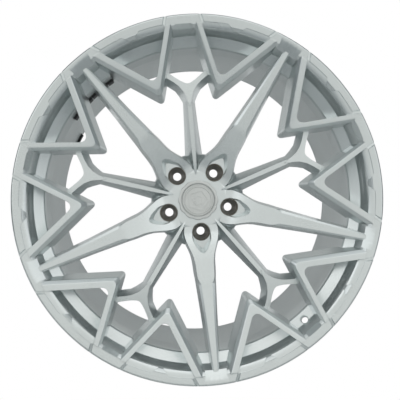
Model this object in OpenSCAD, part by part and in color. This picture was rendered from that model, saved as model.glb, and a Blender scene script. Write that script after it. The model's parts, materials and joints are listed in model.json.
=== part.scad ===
// Forged five-lug road wheel, 22 x 9.5 inch, with five main spokes, five split spokes and ten chevrons.
// Sizes in millimetres. The wheel axis lies along Y and the face looks along -Y; +Z is up.
// The origin is the centre of the hub's mounting face.
// Inside the modules the wheel is built with its axis along z, the face upwards and the
// mounting face at z = 0; on_axis() then lays it over into the frame above.

/* [Rim] */
// Outer radius of the two flanges
flange_r = 297.5; // [270:0.5:360]
// Height of a flange above the bead seat
flange_h = 17.5; // [12:0.5:22]
// Thickness of a flange along the axis
flange_t = 13; // [8:0.5:16]
// Clear width between the two flanges
rim_w = 241; // [195:1:300]
// Width of each bead seat
seat_w = 21; // [18:0.5:26]
// Height of the safety hump next to each bead seat
hump_h = 1.5; // [1:0.1:2.5]
// Depth of the drop centre below the bead seat, outside
well_h = 19; // [14:0.5:24]
// Length of the drop centre along the axis
well_w = 30; // [24:1:45]
// Wall thickness in the drop centre
well_t = 5; // [3.5:0.5:8]
// Wall thickness at the rear bead seat
seat_t = 4; // [3:0.5:8]
// Corner radius of the flanges' outer edges
flange_edge = 4; // [2:0.5:5]

/* [Lip] */
// Width of the flat face of the front lip
land_w = 15.5; // [12:0.5:18]
// Radial drop of the bevel inside the flat face
lip_bevel_w = 6; // [4:0.5:8]
// Axial drop of the bevel inside the flat face
lip_bevel_h = 6; // [4:0.5:8]
// Depth of the front well from the face to the shoulder above the drop centre
front_well_h = 33; // [28:1:38]
// Radial taper of the front well over that depth
front_well_taper = 4; // [2:0.5:6]
// Depth of the milled lip pockets
pocket_h = 4.5; // [3:0.5:6]
// Radial width of the lip pockets, measured on their floor
pocket_w = 6; // [4:0.5:8]
// Width of the relief groove beside each chevron leg
relief_w = 5; // [3:0.5:7]
// Depth of the relief groove
relief_h = 3.5; // [2:0.5:5]
// Radial width of the bevel on the five bridges above the main spokes
bridge_bevel_w = 16; // [12:0.5:20]
// Axial drop of that bevel
bridge_bevel_h = 12; // [8:0.5:14]
// Radius of the valve hole
valve_r = 5.7; // [4:0.05:8]

/* [Hub] */
// Height of the front lip face above the mounting face
face_h = 112; // [95:1:130]
// Thickness of the hub at the cap
hub_t = 34; // [30:1:42]
// Wall of the hub outside the seat inserts, at its front
hub_wall = 8.5; // [6:0.5:14]
// Growth of that radius towards the back
hub_draft = 5; // [2:0.5:7]
// Rise of the hub's face from the cap to its outer edge
hub_dish = 4; // [2:0.5:8]
// Radius of the centre bore
bore_r = 33.3; // [28:0.05:36]
// Length of the centre bore
bore_l = 12; // [10:0.5:14]
// Pitch circle diameter of the lug holes
lug_pcd = 112; // [108:0.5:120]
// Radius of the lug holes
lug_r = 7.5; // [6:0.1:8]
// Radius of the seat inserts at their wide front end
seat_r = 15.5; // [13:0.1:16]
// Radius of the seat inserts at their narrow rear end
sleeve_r = 11; // [9.5:0.1:12]
// Length of the narrow rear end
sleeve_l = 10; // [6:0.5:14]
// How far the seat inserts lie below the hub's face
seat_sink = 2; // [0:0.5:4]
// Length of the pocket from each lug hole towards the lip
lug_pocket_l = 36; // [28:1:42]
// Depth of the pocket floor below the hub's face at the cap
lug_pocket_h = 2; // [0:0.5:4]
// Depth of the relief pockets in the mounting face
back_pocket_h = 12; // [4:1:16]

/* [Main spokes] */
// Half width of the flat at the outer tip
main_tip_w = 3.2; // [2:0.1:5]
// Half width across the side facets at the outer tip
main_tip_side = 5; // [4:0.1:7]
// Half width where the facets end
main_mid_w = 12.7; // [10:0.1:16]
// Distance from the hub to the end of the side facets
facet_gap = 61; // [45:1:80]
// Half width at the hub
main_root_w = 18.5; // [15:0.5:22]
// Drop of the side facets below the flat
facet_h = 2.2; // [1:0.1:4]
// Growth of the half width from front to back
main_draft = 5; // [2:0.5:7]
// Thickness of the spoke at the lip, along the axis
main_tip_t = 46; // [38:1:56]
// Half width of the raised root where it runs out beside the cap
root_w = 29; // [24:0.5:32]

/* [Split spokes] */
// Half width of the ridge
ridge_w = 3.7; // [2.5:0.1:5]
// Half width at the back, at the fork
split_back_tip = 10; // [8:0.5:13]
// Half width at the back, at the hub
split_back_root = 16; // [12:0.5:18]
// Distance from the lip's inner edge to the bottom of the fork, along the spoke
fork_reach = 84; // [70:1:95]
// Width of the fork's arms
arm_w = 8; // [6:0.5:12]

/* [Chevrons] */
// Distance from the lip's inner edge to the chevron's tip
chevron_reach = 100.6; // [85:0.5:115]
// Drop of the chevron's face from the lip to its tip
chevron_drop = 34.5; // [25:0.5:42]
// Width of the leg beside the main spoke
main_leg_w = 15; // [11:0.5:18]
// Width of the leg beside the split spoke
side_leg_w = 12.5; // [10:0.5:15]
// Width of the bevel along the hub side of each leg
leg_bevel_w = 5.5; // [3:0.5:7]
// Drop of that bevel
leg_bevel_h = 5; // [3:0.5:7]
// Thickness of a leg along the axis
leg_t = 50; // [38:1:56]
// Growth of the leg towards the back, on the hub side
leg_draft = 3.4; // [1:0.2:5]

/* [Centre cap] */
// Radius of the cap's bore in the hub
cap_bore_r = 30; // [25:0.5:32]
// Gap between the cap's plug and its bore
cap_gap = 0.3; // [0.3:0.05:0.6]
// How far the scalloped bezel reaches over the hub's face
bezel_lap = 5; // [3:0.5:8]
// Depth of the bezel's scallops
scallop_h = 1.3; // [0.5:0.1:2]
// Thickness of the bezel
bezel_t = 4; // [3:0.5:6]
// Width of the bezel's hidden rim inside the cap's bore
bezel_rim = 1.5; // [1:0.1:3]
// Length of the snap fingers
finger_l = 15; // [10:0.5:17]
// Wall of the snap fingers
finger_t = 2; // [1.5:0.1:3]
// Radius of the spring ring's wire
wire_r = 0.9; // [0.6:0.1:1.2]

/* [Balance weights] */
// Length of the front strip of weights
front_strip_l = 96; // [40:1:120]
// Length of the rear weight
rear_strip_l = 28; // [20:1:60]
// Width of the weights
weight_w = 13; // [10:0.5:18]
// Thickness of the weights
weight_t = 4.2; // [3:0.2:6]
// Width of the adhesive tape
tape_w = 15; // [12:0.5:20]
// Thickness of the adhesive tape
tape_t = 0.8; // [0.5:0.1:1.2]

/* [Hidden] */
$fn = 96;
// Number of main spokes, and so of split spokes and lug holes
arms = 5;
// Direction of the first main spoke, and from a main spoke to the next split spoke
main_angle = 59.4;
half_pitch = 180 / arms;
// Overlap that cuts run past a face, and that forms run into a body they are trimmed by
cut = 1;
sink = 16;

// Radii of the rim
seat_radius = flange_r - flange_h;
land_r = flange_r - land_w;
well_r = seat_radius - well_h;
well_in_r = well_r - well_t;
front_well_r = land_r - lip_bevel_w;
shoulder_r = front_well_r - front_well_taper;
rear_in_r = seat_radius - seat_t;

// Heights of the rim, from the mounting face; the front lip's face is the highest
lip_z = face_h;
front_seat_z = lip_z - flange_t;
front_hump_z = front_seat_z - seat_w;
shoulder_z = lip_z - front_well_h;
well_top_z = front_hump_z - 15;
well_floor_z = lip_z - front_well_h - 12;
split_z = well_top_z + 1;
well_end_z = well_top_z - well_w;
rear_seat_z = front_seat_z - rim_w;
rear_hump_z = rear_seat_z + seat_w;
rear_z = rear_seat_z - flange_t;

// Chevron outline: the hub-side lines of both legs start on the lip's inner edge
main_leg_angle = 3.6;
side_leg_angle = 3.26;
tip_angle = 21.35;
tip_r = land_r - chevron_reach;
face_slope = chevron_drop / chevron_reach;
leg_back_growth = 2;

// Faces of the spokes, as heights between the hub's face and the lip
function face_at(t) = mix(hub_t, face_h, t);
main_tip_rise = 0.9;
main_facet_rise = 0.42;
main_shoulder_rise = 0.205;
main_root_rise = 0.115;
fork_rise = 0.385;
split_root_rise = 0.13;
hub_z = hub_t;
fork_r = land_r - fork_reach;
hub_r = lug_pcd / 2 + seat_r + hub_wall;
lug_pocket_tip = lug_pcd / 2 + lug_pocket_l;
facet_end = hub_r + facet_gap;
bezel_r = cap_bore_r + bezel_lap;
emblem_r = cap_bore_r - bezel_rim;
rib_inner_r = bezel_r + 10;

cap_r = cap_bore_r - cap_gap;
seat_top_z = hub_z - seat_sink;
strip_angle = 147;
rear_strip_angle = 156;
segments = 8;
valve_angle = main_angle - half_pitch - 72;

// ---------- small functions ----------

function mix(a, b, t) = a + (b - a) * t;
function polar(r, a) = [r * cos(a), r * sin(a)];
function dir(p, q) = (q - p) / norm(q - p);

// Points of an arc, from angle a0 to a1 around c
function arc(c, r, a0, a1, n = 6) = [for (i = [0 : n]) c + polar(r, mix(a0, a1, i / n))];

// Point where two lines meet, each at an offset from tip t along its normal
function corner(t, n1, o1, n2, o2) =
    let (det = n1[0] * n2[1] - n1[1] * n2[0])
    t + [(o1 * n2[1] - o2 * n1[1]) / det, (n1[0] * o2 - n2[0] * o1) / det];

// Radius of the barrel's inner wall at height z, behind the drop centre
function barrel_in_r(z) = mix(well_in_r, rear_in_r, (well_end_z - z) / (well_end_z - rear_seat_z));

// ---------- helpers ----------

// Lays the wheel over so that its face looks along -Y
module on_axis() {
    rotate([90, 0, 0]) children();
}

// Turns a piece made along x to its place around the wheel
module at_angle(a) {
    rotate([0, 0, a]) children();
}

// Solid through rings of equal size, each a list of points, given in order along the piece
module loft(rings) {
    n = len(rings[0]);
    m = len(rings);
    points = [for (ring = rings) each ring];
    sides = [
        for (j = [0 : m - 2])
            for (i = [0 : n - 1])
                let (a = j * n + i, b = j * n + (i + 1) % n)
                each [[a, b, b + n], [a, b + n, a + n]]
    ];
    first = [for (i = [n - 1 : -1 : 0]) i];
    last = [for (i = [0 : n - 1]) (m - 1) * n + i];
    polyhedron(points = points, faces = concat([first], sides, [last]), convexity = 4);
}

// Ring turned around the wheel axis from outline points [radius, height]
module turned(outline) {
    rotate_extrude($fn = 180) polygon(outline);
}

// ---------- rim ----------

// Everything outside the rim's inner face, used to trim what reaches the rim
module rim_space() {
    far_r = flange_r + 3 * sink;
    turned([
        [far_r, lip_z + 3 * sink],
        [land_r, lip_z + 3 * sink],
        [land_r, lip_z],
        [front_well_r, lip_z - lip_bevel_h],
        [shoulder_r, shoulder_z],
        [well_in_r, well_floor_z + 2],
        [well_in_r, well_end_z],
        [rear_in_r, rear_seat_z],
        [far_r, rear_seat_z]
    ]);
}

// Plan of a trapezoid pocket between two angles, wider at the outside by the slants
module pocket_plan(a0, a1, slant0, slant1) {
    inner = land_r - pocket_w - 4;
    outer = land_r + pocket_w;
    polygon([
        polar(inner, a0 - slant0), polar(outer, a0), polar(outer, a1), polar(inner, a1 + slant1)
    ]);
}

// The step that a lip pocket cuts
module pocket_step() {
    step_r = land_r + pocket_w / 2;
    turned([
        [step_r, lip_z + cut],
        [step_r, lip_z - pocket_h],
        [step_r - pocket_w, lip_z - pocket_h],
        [front_well_r - cut, lip_z - lip_bevel_h - 2],
        [front_well_r - 2 * cut, lip_z + cut]
    ]);
}

// Relief groove beside a leg: along the line through p in direction u, on the side of n
module relief(p, u, n) {
    outer = p - u * 3 * sink;
    inner = p + u * sink;
    translate([0, 0, lip_z - relief_h])
        linear_extrude(relief_h + cut)
            polygon([outer, inner, inner + n * relief_w, outer + n * relief_w]);
}

// Outline of one chevron seen from the front: lip points, tip, directions and normals of its lines
main_start = polar(land_r, main_leg_angle);
side_start = polar(land_r, half_pitch - side_leg_angle);
tip = polar(tip_r, tip_angle);
main_dir = dir(main_start, tip);
side_dir = dir(side_start, tip);
main_normal = [-main_dir[1], main_dir[0]] * -1;
side_normal = [side_dir[1], -side_dir[0]] * -1;

// Cuts of the lip in one half sector, from a main spoke to the next split spoke
module lip_cuts() {
    intersection() {
        pocket_step();
        translate([0, 0, lip_z - 3 * pocket_h])
            linear_extrude(4 * pocket_h) {
                pocket_plan(7, 14.8, 0, 2);
                pocket_plan(22, 29.6, 2, 0);
            }
    }
    relief(main_start + main_normal * main_leg_w, main_dir, main_normal);
    relief(side_start + side_normal * side_leg_w, side_dir, side_normal);
}

// Bevel of a bridge, between the two legs beside a spoke
module bridge_bevel(width, height, half_width) {
    outer = land_r + width / 2;
    intersection() {
        turned([
            [outer, lip_z],
            [outer, lip_z + cut],
            [outer - 1.6 * width, lip_z + cut],
            [outer - 1.6 * width, lip_z - 1.6 * height]
        ]);
        translate([land_r - 2 * sink, -half_width, lip_z - 2 * height])
            cube([3 * sink, 2 * half_width, 3 * height]);
    }
}

// Hole for the tyre valve, square to the sloping wall above the drop centre
module valve_hole(extra = 0) {
    mid = [(shoulder_r + well_in_r) / 2 + 4, (shoulder_z + well_floor_z) / 2 + 3];
    slope = atan2(shoulder_r - well_in_r, shoulder_z - well_floor_z);
    at_angle(valve_angle)
        translate([mid[0], 0, mid[1]])
            rotate([0, slope - 90, 0])
                cylinder(r = valve_r + extra, h = 4 * well_t, center = true);
}

module outer_lip() {
    color("silver")
        on_axis()
            difference() {
                turned(concat(
                    arc([flange_r - flange_edge, lip_z - flange_edge], flange_edge, 90, 0),
                    arc([flange_r - flange_edge, front_seat_z + flange_edge], flange_edge, 0, -90),
                    [
                        [seat_radius + 1, front_seat_z],
                        [seat_radius, front_seat_z - 1],
                        [seat_radius, front_hump_z + 3],
                        [seat_radius + hump_h, front_hump_z + 1],
                        [seat_radius + hump_h, front_hump_z - 1],
                        [well_r + 2, split_z],
                        [well_in_r, split_z],
                        [well_in_r, well_floor_z + 2],
                        [shoulder_r, shoulder_z],
                        [front_well_r, lip_z - lip_bevel_h],
                        [land_r, lip_z]
                    ]
                ));
                for (i = [0 : arms - 1])
                    at_angle(main_angle + i * 360 / arms) {
                        lip_cuts();
                        mirror([0, 1, 0]) lip_cuts();
                        bridge_bevel(bridge_bevel_w, bridge_bevel_h, main_start[1]);
                        at_angle(half_pitch)
                            bridge_bevel(lip_bevel_w, lip_bevel_h + 2, main_start[1] - 2);
                    }
                valve_hole();
            }
}

module barrel() {
    color("silver")
        on_axis()
            turned(concat(
                [
                    [well_r + 2, split_z],
                    [well_r, well_top_z - 2],
                    [well_r, well_end_z],
                    [seat_radius, rear_hump_z + 12],
                    [seat_radius + hump_h, rear_hump_z + 4],
                    [seat_radius + hump_h, rear_hump_z],
                    [seat_radius, rear_hump_z - 2],
                    [seat_radius, rear_seat_z + 1],
                    [seat_radius + 1, rear_seat_z]
                ],
                arc([flange_r - flange_edge, rear_seat_z - flange_edge], flange_edge, 90, 0),
                arc([flange_r - flange_edge, rear_z + flange_edge], flange_edge, 0, -90),
                [
                    [rear_in_r + 2, rear_z],
                    [rear_in_r, rear_z + 2],
                    [rear_in_r, rear_seat_z],
                    [well_in_r, well_end_z],
                    [well_in_r, split_z]
                ]
            ));
}

// ---------- chevrons ----------

// Section of a leg of width w: distance from its hub-side line, and depth. All widths keep the
// same share of w, so that the two legs meet in one upright plane
function leg_section(w) =
    let (share = w / main_leg_w)
    [
        [w, 0],
        [leg_bevel_w * share, 0],
        [0, leg_bevel_h],
        [-leg_draft * share, leg_t],
        [w + leg_back_growth * share, leg_t]
    ];

// Point of a leg with the face's height at its place, less its depth
function on_face(p, depth) = [p[0], p[1], lip_z - face_slope * (land_r - norm(p)) - depth];

function leg_start(start, u, n, section) = [
    for (s = section) on_face(start - u * sink + n * s[0], s[1])
];

function leg_mitre() = [
    let (a = leg_section(main_leg_w), b = leg_section(side_leg_w))
    for (i = [0 : len(a) - 1])
        on_face(corner(tip, main_normal, a[i][0], side_normal, b[i][0]), a[i][1])
];

module main_leg_form() {
    loft([leg_start(main_start, main_dir, main_normal, leg_section(main_leg_w)), leg_mitre()]);
}

module side_leg_form() {
    loft([leg_mitre(), leg_start(side_start, side_dir, side_normal, leg_section(side_leg_w))]);
}

// Places half sector i, from 1 to 10: the odd ones lie after a main spoke, the even ones before it
module in_half_sector(i) {
    at_angle(main_angle + floor(i / 2) * 360 / arms)
        mirror([0, i % 2 == 0 ? 1 : 0, 0])
            children();
}

module chevron_main_leg(i) {
    color("silver")
        on_axis()
            in_half_sector(i)
                difference() {
                    main_leg_form();
                    rim_space();
                }
}

module chevron_side_leg(i) {
    color("silver")
        on_axis()
            in_half_sector(i)
                difference() {
                    side_leg_form();
                    rim_space();
                }
}

// ---------- spokes ----------

// Station of the main spoke at distance x: half widths, heights of its face and of its back
function main_ring(x, flat, side, z, z_back) = [
    [x, -side - main_draft, z_back],
    [x, side + main_draft, z_back],
    [x, side, z - facet_h],
    [x, flat, z],
    [x, -flat, z],
    [x, -side, z - facet_h]
];

main_tip_x = land_r + sink / 2;
main_shoulder_x = hub_r + 12;
main_root_x = hub_r - 8;
main_end_x = hub_r - 30;
main_back_z = 4;

module main_spoke_form() {
    tip_z = face_at(main_tip_rise) + 2;
    facet_z = face_at(main_facet_rise);
    tip_back_z = tip_z - main_tip_t;
    facet_back_z = mix(main_back_z, tip_back_z, (facet_end - hub_r) / (main_tip_x - hub_r));
    loft([
        main_ring(main_tip_x, main_tip_w, main_tip_side, tip_z, tip_back_z),
        main_ring(facet_end, main_mid_w * 0.72, main_mid_w, facet_z, facet_back_z),
        main_ring(facet_end - 6, main_mid_w, main_mid_w + 0.5, facet_z - 2, facet_back_z - 2),
        main_ring(
            main_shoulder_x, main_root_w - 2.5, main_root_w - 2,
            face_at(main_shoulder_rise), main_back_z + 2
        ),
        main_ring(
            main_root_x, main_root_w + 4, main_root_w + 4.5,
            face_at(main_root_rise), main_back_z
        )
    ]);
}

// Channel milled into the back of the main spoke
module main_back_channel() {
    inner = hub_r + 14;
    outer = fork_r + 20;
    w = main_mid_w - 3.5;
    depth = 26;
    translate([0, 0, main_back_z - cut])
        linear_extrude(depth)
            polygon([[inner, -w - 1], [outer, -w * 0.55], [outer, w * 0.55], [inner, w + 1]]);
    translate([0, 0, main_back_z + depth - 2 * cut])
        linear_extrude(depth / 2)
            polygon([[mix(inner, outer, 0.45), -w * 0.7], [outer, -w * 0.5],
                [outer, w * 0.5], [mix(inner, outer, 0.45), w * 0.7]]);
}

// Station of the split spoke: ridge half width, back half width, heights of face and back
function split_ring(x, ridge, back_w, z, z_back) = [
    [x, -back_w, z_back], [x, back_w, z_back], [x, ridge, z], [x, -ridge, z]
];

module split_spoke_form() {
    fork_z = face_at(fork_rise);
    root_z = face_at(split_root_rise);
    back_z = fork_z - 40;
    mid_x = mix(hub_r, fork_r, 0.35);
    loft([
        split_ring(fork_r - 10, ridge_w, split_back_tip, fork_z - 2, back_z),
        split_ring(mid_x, ridge_w, split_back_root - 3, mix(root_z, fork_z, 0.4), 12),
        split_ring(hub_r - 8, ridge_w * 0.85, split_back_root, root_z - 2, main_back_z)
    ]);
    fork_arm();
    mirror([0, 1, 0]) fork_arm();
}

// Ring of the fork's arm: hub-side and window-side points of the face, and of its back below them
function arm_ring(window, inner, draft, z, z_back) = [
    [inner[0] - draft[0], inner[1] + draft[1], z_back],
    [window[0] - 1, window[1], z_back],
    [window[0], window[1], z],
    [inner[0], inner[1], z]
];

module fork_arm() {
    z = face_at(fork_rise);
    zb = z - 38;
    out = fork_r;
    w = arm_w;
    loft([
        arm_ring([out, 0], [out - 40, 0], [0, 0], z, zb),
        arm_ring([out + 1, 5], [out - 27, 4], [0, 5], z, zb),
        arm_ring([out + 4, 11], [out - 14, 8], [1, 6], z, zb),
        arm_ring([out + 10, 20], [out + 10 - 1.6 * w, 14], [3, 6], z, zb),
        arm_ring([out + 18, 31], [out + 18 - 1.6 * w, 25], [6, 5], z, zb),
        arm_ring([out + 24, 42], [out + 22 - 1.6 * w, 42], [6, 5], z, zb)
    ]);
}

// The hub's own space, which ends the spokes
module hub_space() {
    translate([0, 0, -cut])
        cylinder(r1 = hub_r + hub_draft, r2 = hub_r, h = hub_z + hub_dish + 20);
}

// Pocket around a lug hole, with its point towards the lip
module lug_pocket() {
    lug_x = lug_pcd / 2;
    tail = lug_pocket_tip - lug_x;
    translate([0, 0, hub_z - lug_pocket_h])
        linear_extrude(face_h)
            polygon(concat(
                arc([lug_x, 0], seat_r - 2, 60, 300, 16),
                [
                    [lug_x + tail * 0.62, -seat_r * 0.72],
                    [lug_x + tail * 0.9, -seat_r * 0.34],
                    [lug_pocket_tip, 0],
                    [lug_x + tail * 0.9, seat_r * 0.34],
                    [lug_x + tail * 0.62, seat_r * 0.72]
                ]
            ));
}

module main_spoke(i) {
    color("silver")
        on_axis()
            at_angle(main_angle + (i - 1) * 360 / arms)
                difference() {
                    main_spoke_form();
                    rim_space_with_bevel();
                    hub_space();
                    lug_pocket();
                    main_back_channel();
                }
}

// Trims the main spoke, which stands on the bridge's bevel
module rim_space_with_bevel() {
    difference() {
        rim_space();
        bridge_bevel(bridge_bevel_w, bridge_bevel_h, main_start[1] + sink);
    }
}

module split_spoke(i) {
    color("silver")
        on_axis()
            at_angle(main_angle + half_pitch + (i - 1) * 360 / arms)
                difference() {
                    split_spoke_form();
                    hub_space();
                    at_angle(-half_pitch) side_leg_form();
                    mirror([0, 1, 0]) at_angle(-half_pitch) side_leg_form();
                }
}

// ---------- hub ----------

// Relief pocket between two lug holes, in the mounting face
module back_pocket() {
    inner = bore_r + 9;
    outer = hub_r - 6;
    translate([0, 0, -cut])
        linear_extrude(back_pocket_h + cut)
            polygon(concat(
                arc([0, 0], inner, -9, 9),
                arc([0, 0], outer, 13, -13)
            ));
}

// Raised root of a main spoke on the hub's face
module spoke_root() {
    intersection() {
        linear_extrude(face_h)
            polygon([
                [bezel_r, -root_w], [main_end_x, -root_w],
                [main_root_x, -main_root_w - 4], [main_shoulder_x, -main_root_w + 2.5],
                [main_shoulder_x, main_root_w - 2.5], [main_root_x, main_root_w + 4],
                [main_end_x, root_w], [bezel_r, root_w]
            ]);
        turned([
            [0, 0],
            [main_shoulder_x, 0],
            [main_shoulder_x, face_at(main_shoulder_rise)],
            [main_root_x, face_at(main_root_rise)],
            [main_end_x, hub_z - 1],
            [0, hub_z - 1]
        ]);
    }
}

// Ridge of a split spoke on the hub's face, running out beside the cap
module spoke_ridge() {
    intersection() {
        linear_extrude(face_h)
            polygon([
                [rib_inner_r, -0.5], [rib_inner_r + 10, -ridge_w * 0.75],
                [hub_r + 10, -ridge_w], [hub_r + 10, ridge_w],
                [rib_inner_r + 10, ridge_w * 0.75], [rib_inner_r, 0.5]
            ]);
        turned([
            [0, 0],
            [hub_r + 10, 0],
            [hub_r + 10, face_at(split_root_rise) + 2],
            [hub_r - 8, face_at(split_root_rise) - 2],
            [rib_inner_r, hub_z - 0.5],
            [0, hub_z - 0.5]
        ]);
    }
}

module hub() {
    color("silver")
        on_axis()
            difference() {
                intersection() {
                    hub_space();
                    union() {
                        turned([
                            [0, 0],
                            [hub_r + 2 * hub_draft, 0],
                            [hub_r + 2 * hub_draft, hub_z + hub_dish + 1],
                            [hub_r, hub_z + hub_dish],
                            [bezel_r + 12, hub_z],
                            [0, hub_z]
                        ]);
                        for (i = [0 : arms - 1])
                            at_angle(main_angle + i * 360 / arms) {
                                spoke_root();
                                at_angle(half_pitch) spoke_ridge();
                            }
                    }
                }
                translate([0, 0, -cut]) cylinder(r = bore_r, h = bore_l + cut);
                translate([0, 0, -cut]) cylinder(r = cap_bore_r, h = face_h);
                for (i = [0 : arms - 1])
                    at_angle(main_angle + i * 360 / arms) {
                        lug_pocket();
                        translate([lug_pcd / 2, 0, -cut]) cylinder(r = sleeve_r, h = face_h);
                        translate([lug_pcd / 2, 0, sleeve_l]) cylinder(r = seat_r, h = face_h);
                        at_angle(half_pitch) back_pocket();
                    }
            }
}

// Seat insert of a lug hole: a sleeve with a flange and a rounded seat
module lug_seat(i) {
    seat_h = seat_top_z - sleeve_l;
    color("dimgray")
        on_axis()
            at_angle(main_angle + (i - 1) * 360 / arms)
                translate([lug_pcd / 2, 0, 0])
                    rotate_extrude()
                        polygon([
                            [lug_r, 0],
                            [sleeve_r, 0],
                            [sleeve_r, sleeve_l],
                            [seat_r, sleeve_l],
                            [seat_r, seat_top_z],
                            [seat_r - 1.2, seat_top_z],
                            [seat_r - 2.4, seat_top_z - 1.5],
                            [seat_r - 3, seat_top_z - seat_h * 0.4],
                            [lug_r + 0.4, sleeve_l + 1],
                            [lug_r, sleeve_l]
                        ]);
}

// ---------- centre cap ----------

plate_t = 4;
lobes = 12;

// Plug of the cap: a plate with six snap fingers
module cap_body() {
    slot_w = 5;
    color("gray")
        on_axis()
            difference() {
                union() {
                    translate([0, 0, hub_z - plate_t]) cylinder(r = cap_r, h = plate_t);
                    translate([0, 0, hub_z - plate_t - finger_l])
                        difference() {
                            turned([
                                [cap_r - finger_t - 1, 0],
                                [cap_r - 1.4, 0],
                                [cap_r, 2],
                                [cap_r - 1, 4],
                                [cap_r - 1, finger_l + cut],
                                [cap_r - finger_t - 1, finger_l + cut]
                            ]);
                            for (i = [0 : 2])
                                rotate([0, 0, i * 60])
                                    translate([-cap_bore_r, -slot_w / 2, -cut])
                                        cube([2 * cap_bore_r, slot_w, finger_l - 1]);
                        }
                }
            }
}

// Scalloped ring around the emblem
module cap_bezel() {
    color("silver")
        on_axis()
            translate([0, 0, hub_z])
                difference() {
                    cylinder(r = bezel_r, h = bezel_t);
                    translate([0, 0, -cut]) cylinder(r = emblem_r, h = bezel_t + 2 * cut);
                    for (i = [0 : lobes - 1])
                        rotate([0, 0, (i + 0.5) * 360 / lobes])
                            translate([bezel_r + 3 * scallop_h, 0, -cut])
                                cylinder(r = 4 * scallop_h, h = bezel_t + 2 * cut);
                }
}

// Emblem plate with a plain pattern of a ring and twelve ribs
module cap_emblem() {
    base_t = bezel_t - 1.5;
    color("silver")
        on_axis()
            translate([0, 0, hub_z]) {
                cylinder(r = emblem_r, h = base_t);
                turned([
                    [emblem_r * 0.8, base_t - 0.5], [emblem_r * 0.88, base_t - 0.5],
                    [emblem_r * 0.88, base_t + 1], [emblem_r * 0.8, base_t + 1]
                ]);
                cylinder(r = emblem_r * 0.22, h = base_t + 1);
                for (i = [0 : lobes - 1])
                    rotate([0, 0, i * 360 / lobes])
                        translate([emblem_r * 0.3, -0.8, 0])
                            cube([emblem_r * 0.42, 1.6, base_t + 0.8]);
            }
}

// Wire ring that spreads the snap fingers
module cap_spring_ring() {
    ring_r = cap_r - finger_t - 1 - wire_r - 0.1;
    color("darkgray")
        on_axis()
            translate([0, 0, hub_z - plate_t - finger_l + 4])
                rotate_extrude()
                    translate([ring_r, 0]) circle(r = wire_r, $fn = 32);
}

// ---------- balance weights ----------

front_weight_z = split_z - 15;
rear_weight_z = rear_seat_z + 5;

// Part of a ring on the barrel's wall, t0 to t1 above it, from height z down by w
module wall_strip(angle, length, z, w, t0, t1, r_top, r_end) {
    span = length / r_top * 180 / PI;
    rotate([0, 0, angle - span])
        rotate_extrude(angle = span, $fn = 180)
            polygon([
                [r_top - t0, z], [r_top - t1, z], [r_end - t1, z - w], [r_end - t0, z - w]
            ]);
}

module front_balance_tape() {
    color("lightgray")
        on_axis()
            wall_strip(
                strip_angle, front_strip_l + 2, front_weight_z, tape_w,
                0, tape_t, well_in_r, well_in_r
            );
}

module front_balance_weights() {
    pitch = front_strip_l / well_in_r * 180 / PI / segments;
    groove = 1;
    color("black")
        on_axis()
            difference() {
                wall_strip(
                    strip_angle - 0.2, front_strip_l, front_weight_z, weight_w,
                    tape_t, tape_t + weight_t, well_in_r, well_in_r
                );
                for (i = [1 : segments - 1])
                    rotate([0, 0, strip_angle - 0.2 - i * pitch])
                        translate([
                            well_in_r - tape_t - weight_t - cut, -groove / 2,
                            front_weight_z - weight_w - cut
                        ])
                            cube([weight_t, groove, weight_w + 2 * cut]);
            }
}

module rear_strip(w, t0, t1, length) {
    top = rear_weight_z + w;
    wall_strip(rear_strip_angle, length, top, w, t0, t1, barrel_in_r(top), barrel_in_r(top - w));
}

module rear_balance_tape() {
    color("lightgray") on_axis() rear_strip(tape_w, 0, tape_t, rear_strip_l + 2);
}

module rear_balance_weight() {
    color("black")
        on_axis()
            rotate([0, 0, -0.2]) rear_strip(weight_w, tape_t, tape_t + weight_t, rear_strip_l);
}

// ---------- what is drawn ----------

outer_lip();
barrel();
hub();
for (i = [1 : arms]) {
    main_spoke(i);
    split_spoke(i);
    lug_seat(i);
}
for (i = [1 : 2 * arms]) {
    chevron_main_leg(i);
    chevron_side_leg(i);
}
cap_body();
cap_bezel();
cap_emblem();
cap_spring_ring();
front_balance_tape();
front_balance_weights();
rear_balance_tape();
rear_balance_weight();
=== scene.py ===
"""Looks of a forged five-lug road wheel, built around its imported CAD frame."""

import json
import logging
import math
from dataclasses import dataclass
from enum import Enum
from typing import Callable, Iterable, Sequence

import bmesh
import bpy
from mathutils import Matrix, Vector

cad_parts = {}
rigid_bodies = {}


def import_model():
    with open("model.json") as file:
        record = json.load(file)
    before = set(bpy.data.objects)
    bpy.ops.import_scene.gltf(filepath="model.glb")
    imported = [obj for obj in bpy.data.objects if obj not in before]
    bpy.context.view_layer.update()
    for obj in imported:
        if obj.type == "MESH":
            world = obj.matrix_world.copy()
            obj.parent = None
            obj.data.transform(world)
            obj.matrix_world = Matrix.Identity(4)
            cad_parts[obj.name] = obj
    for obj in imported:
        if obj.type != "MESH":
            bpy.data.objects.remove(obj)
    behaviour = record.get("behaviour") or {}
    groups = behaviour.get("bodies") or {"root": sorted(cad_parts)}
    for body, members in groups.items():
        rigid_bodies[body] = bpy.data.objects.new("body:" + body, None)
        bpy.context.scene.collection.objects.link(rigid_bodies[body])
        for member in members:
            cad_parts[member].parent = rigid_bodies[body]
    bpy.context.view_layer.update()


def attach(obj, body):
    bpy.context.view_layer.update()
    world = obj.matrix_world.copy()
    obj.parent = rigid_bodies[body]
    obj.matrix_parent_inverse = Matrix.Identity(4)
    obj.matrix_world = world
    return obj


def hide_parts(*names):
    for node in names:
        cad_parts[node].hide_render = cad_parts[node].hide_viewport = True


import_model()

logging.basicConfig(level=logging.INFO, format="%(message)s")
LOG = logging.getLogger("wheel")

MM = 0.001
ARMS = 5
PITCH = 360.0 / ARMS
HALF = PITCH / 2
MAIN_ANGLE = 59.4

Flat = tuple[float, float]
Corner = tuple[float, float, float]


# ---------- plane geometry ----------


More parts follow.
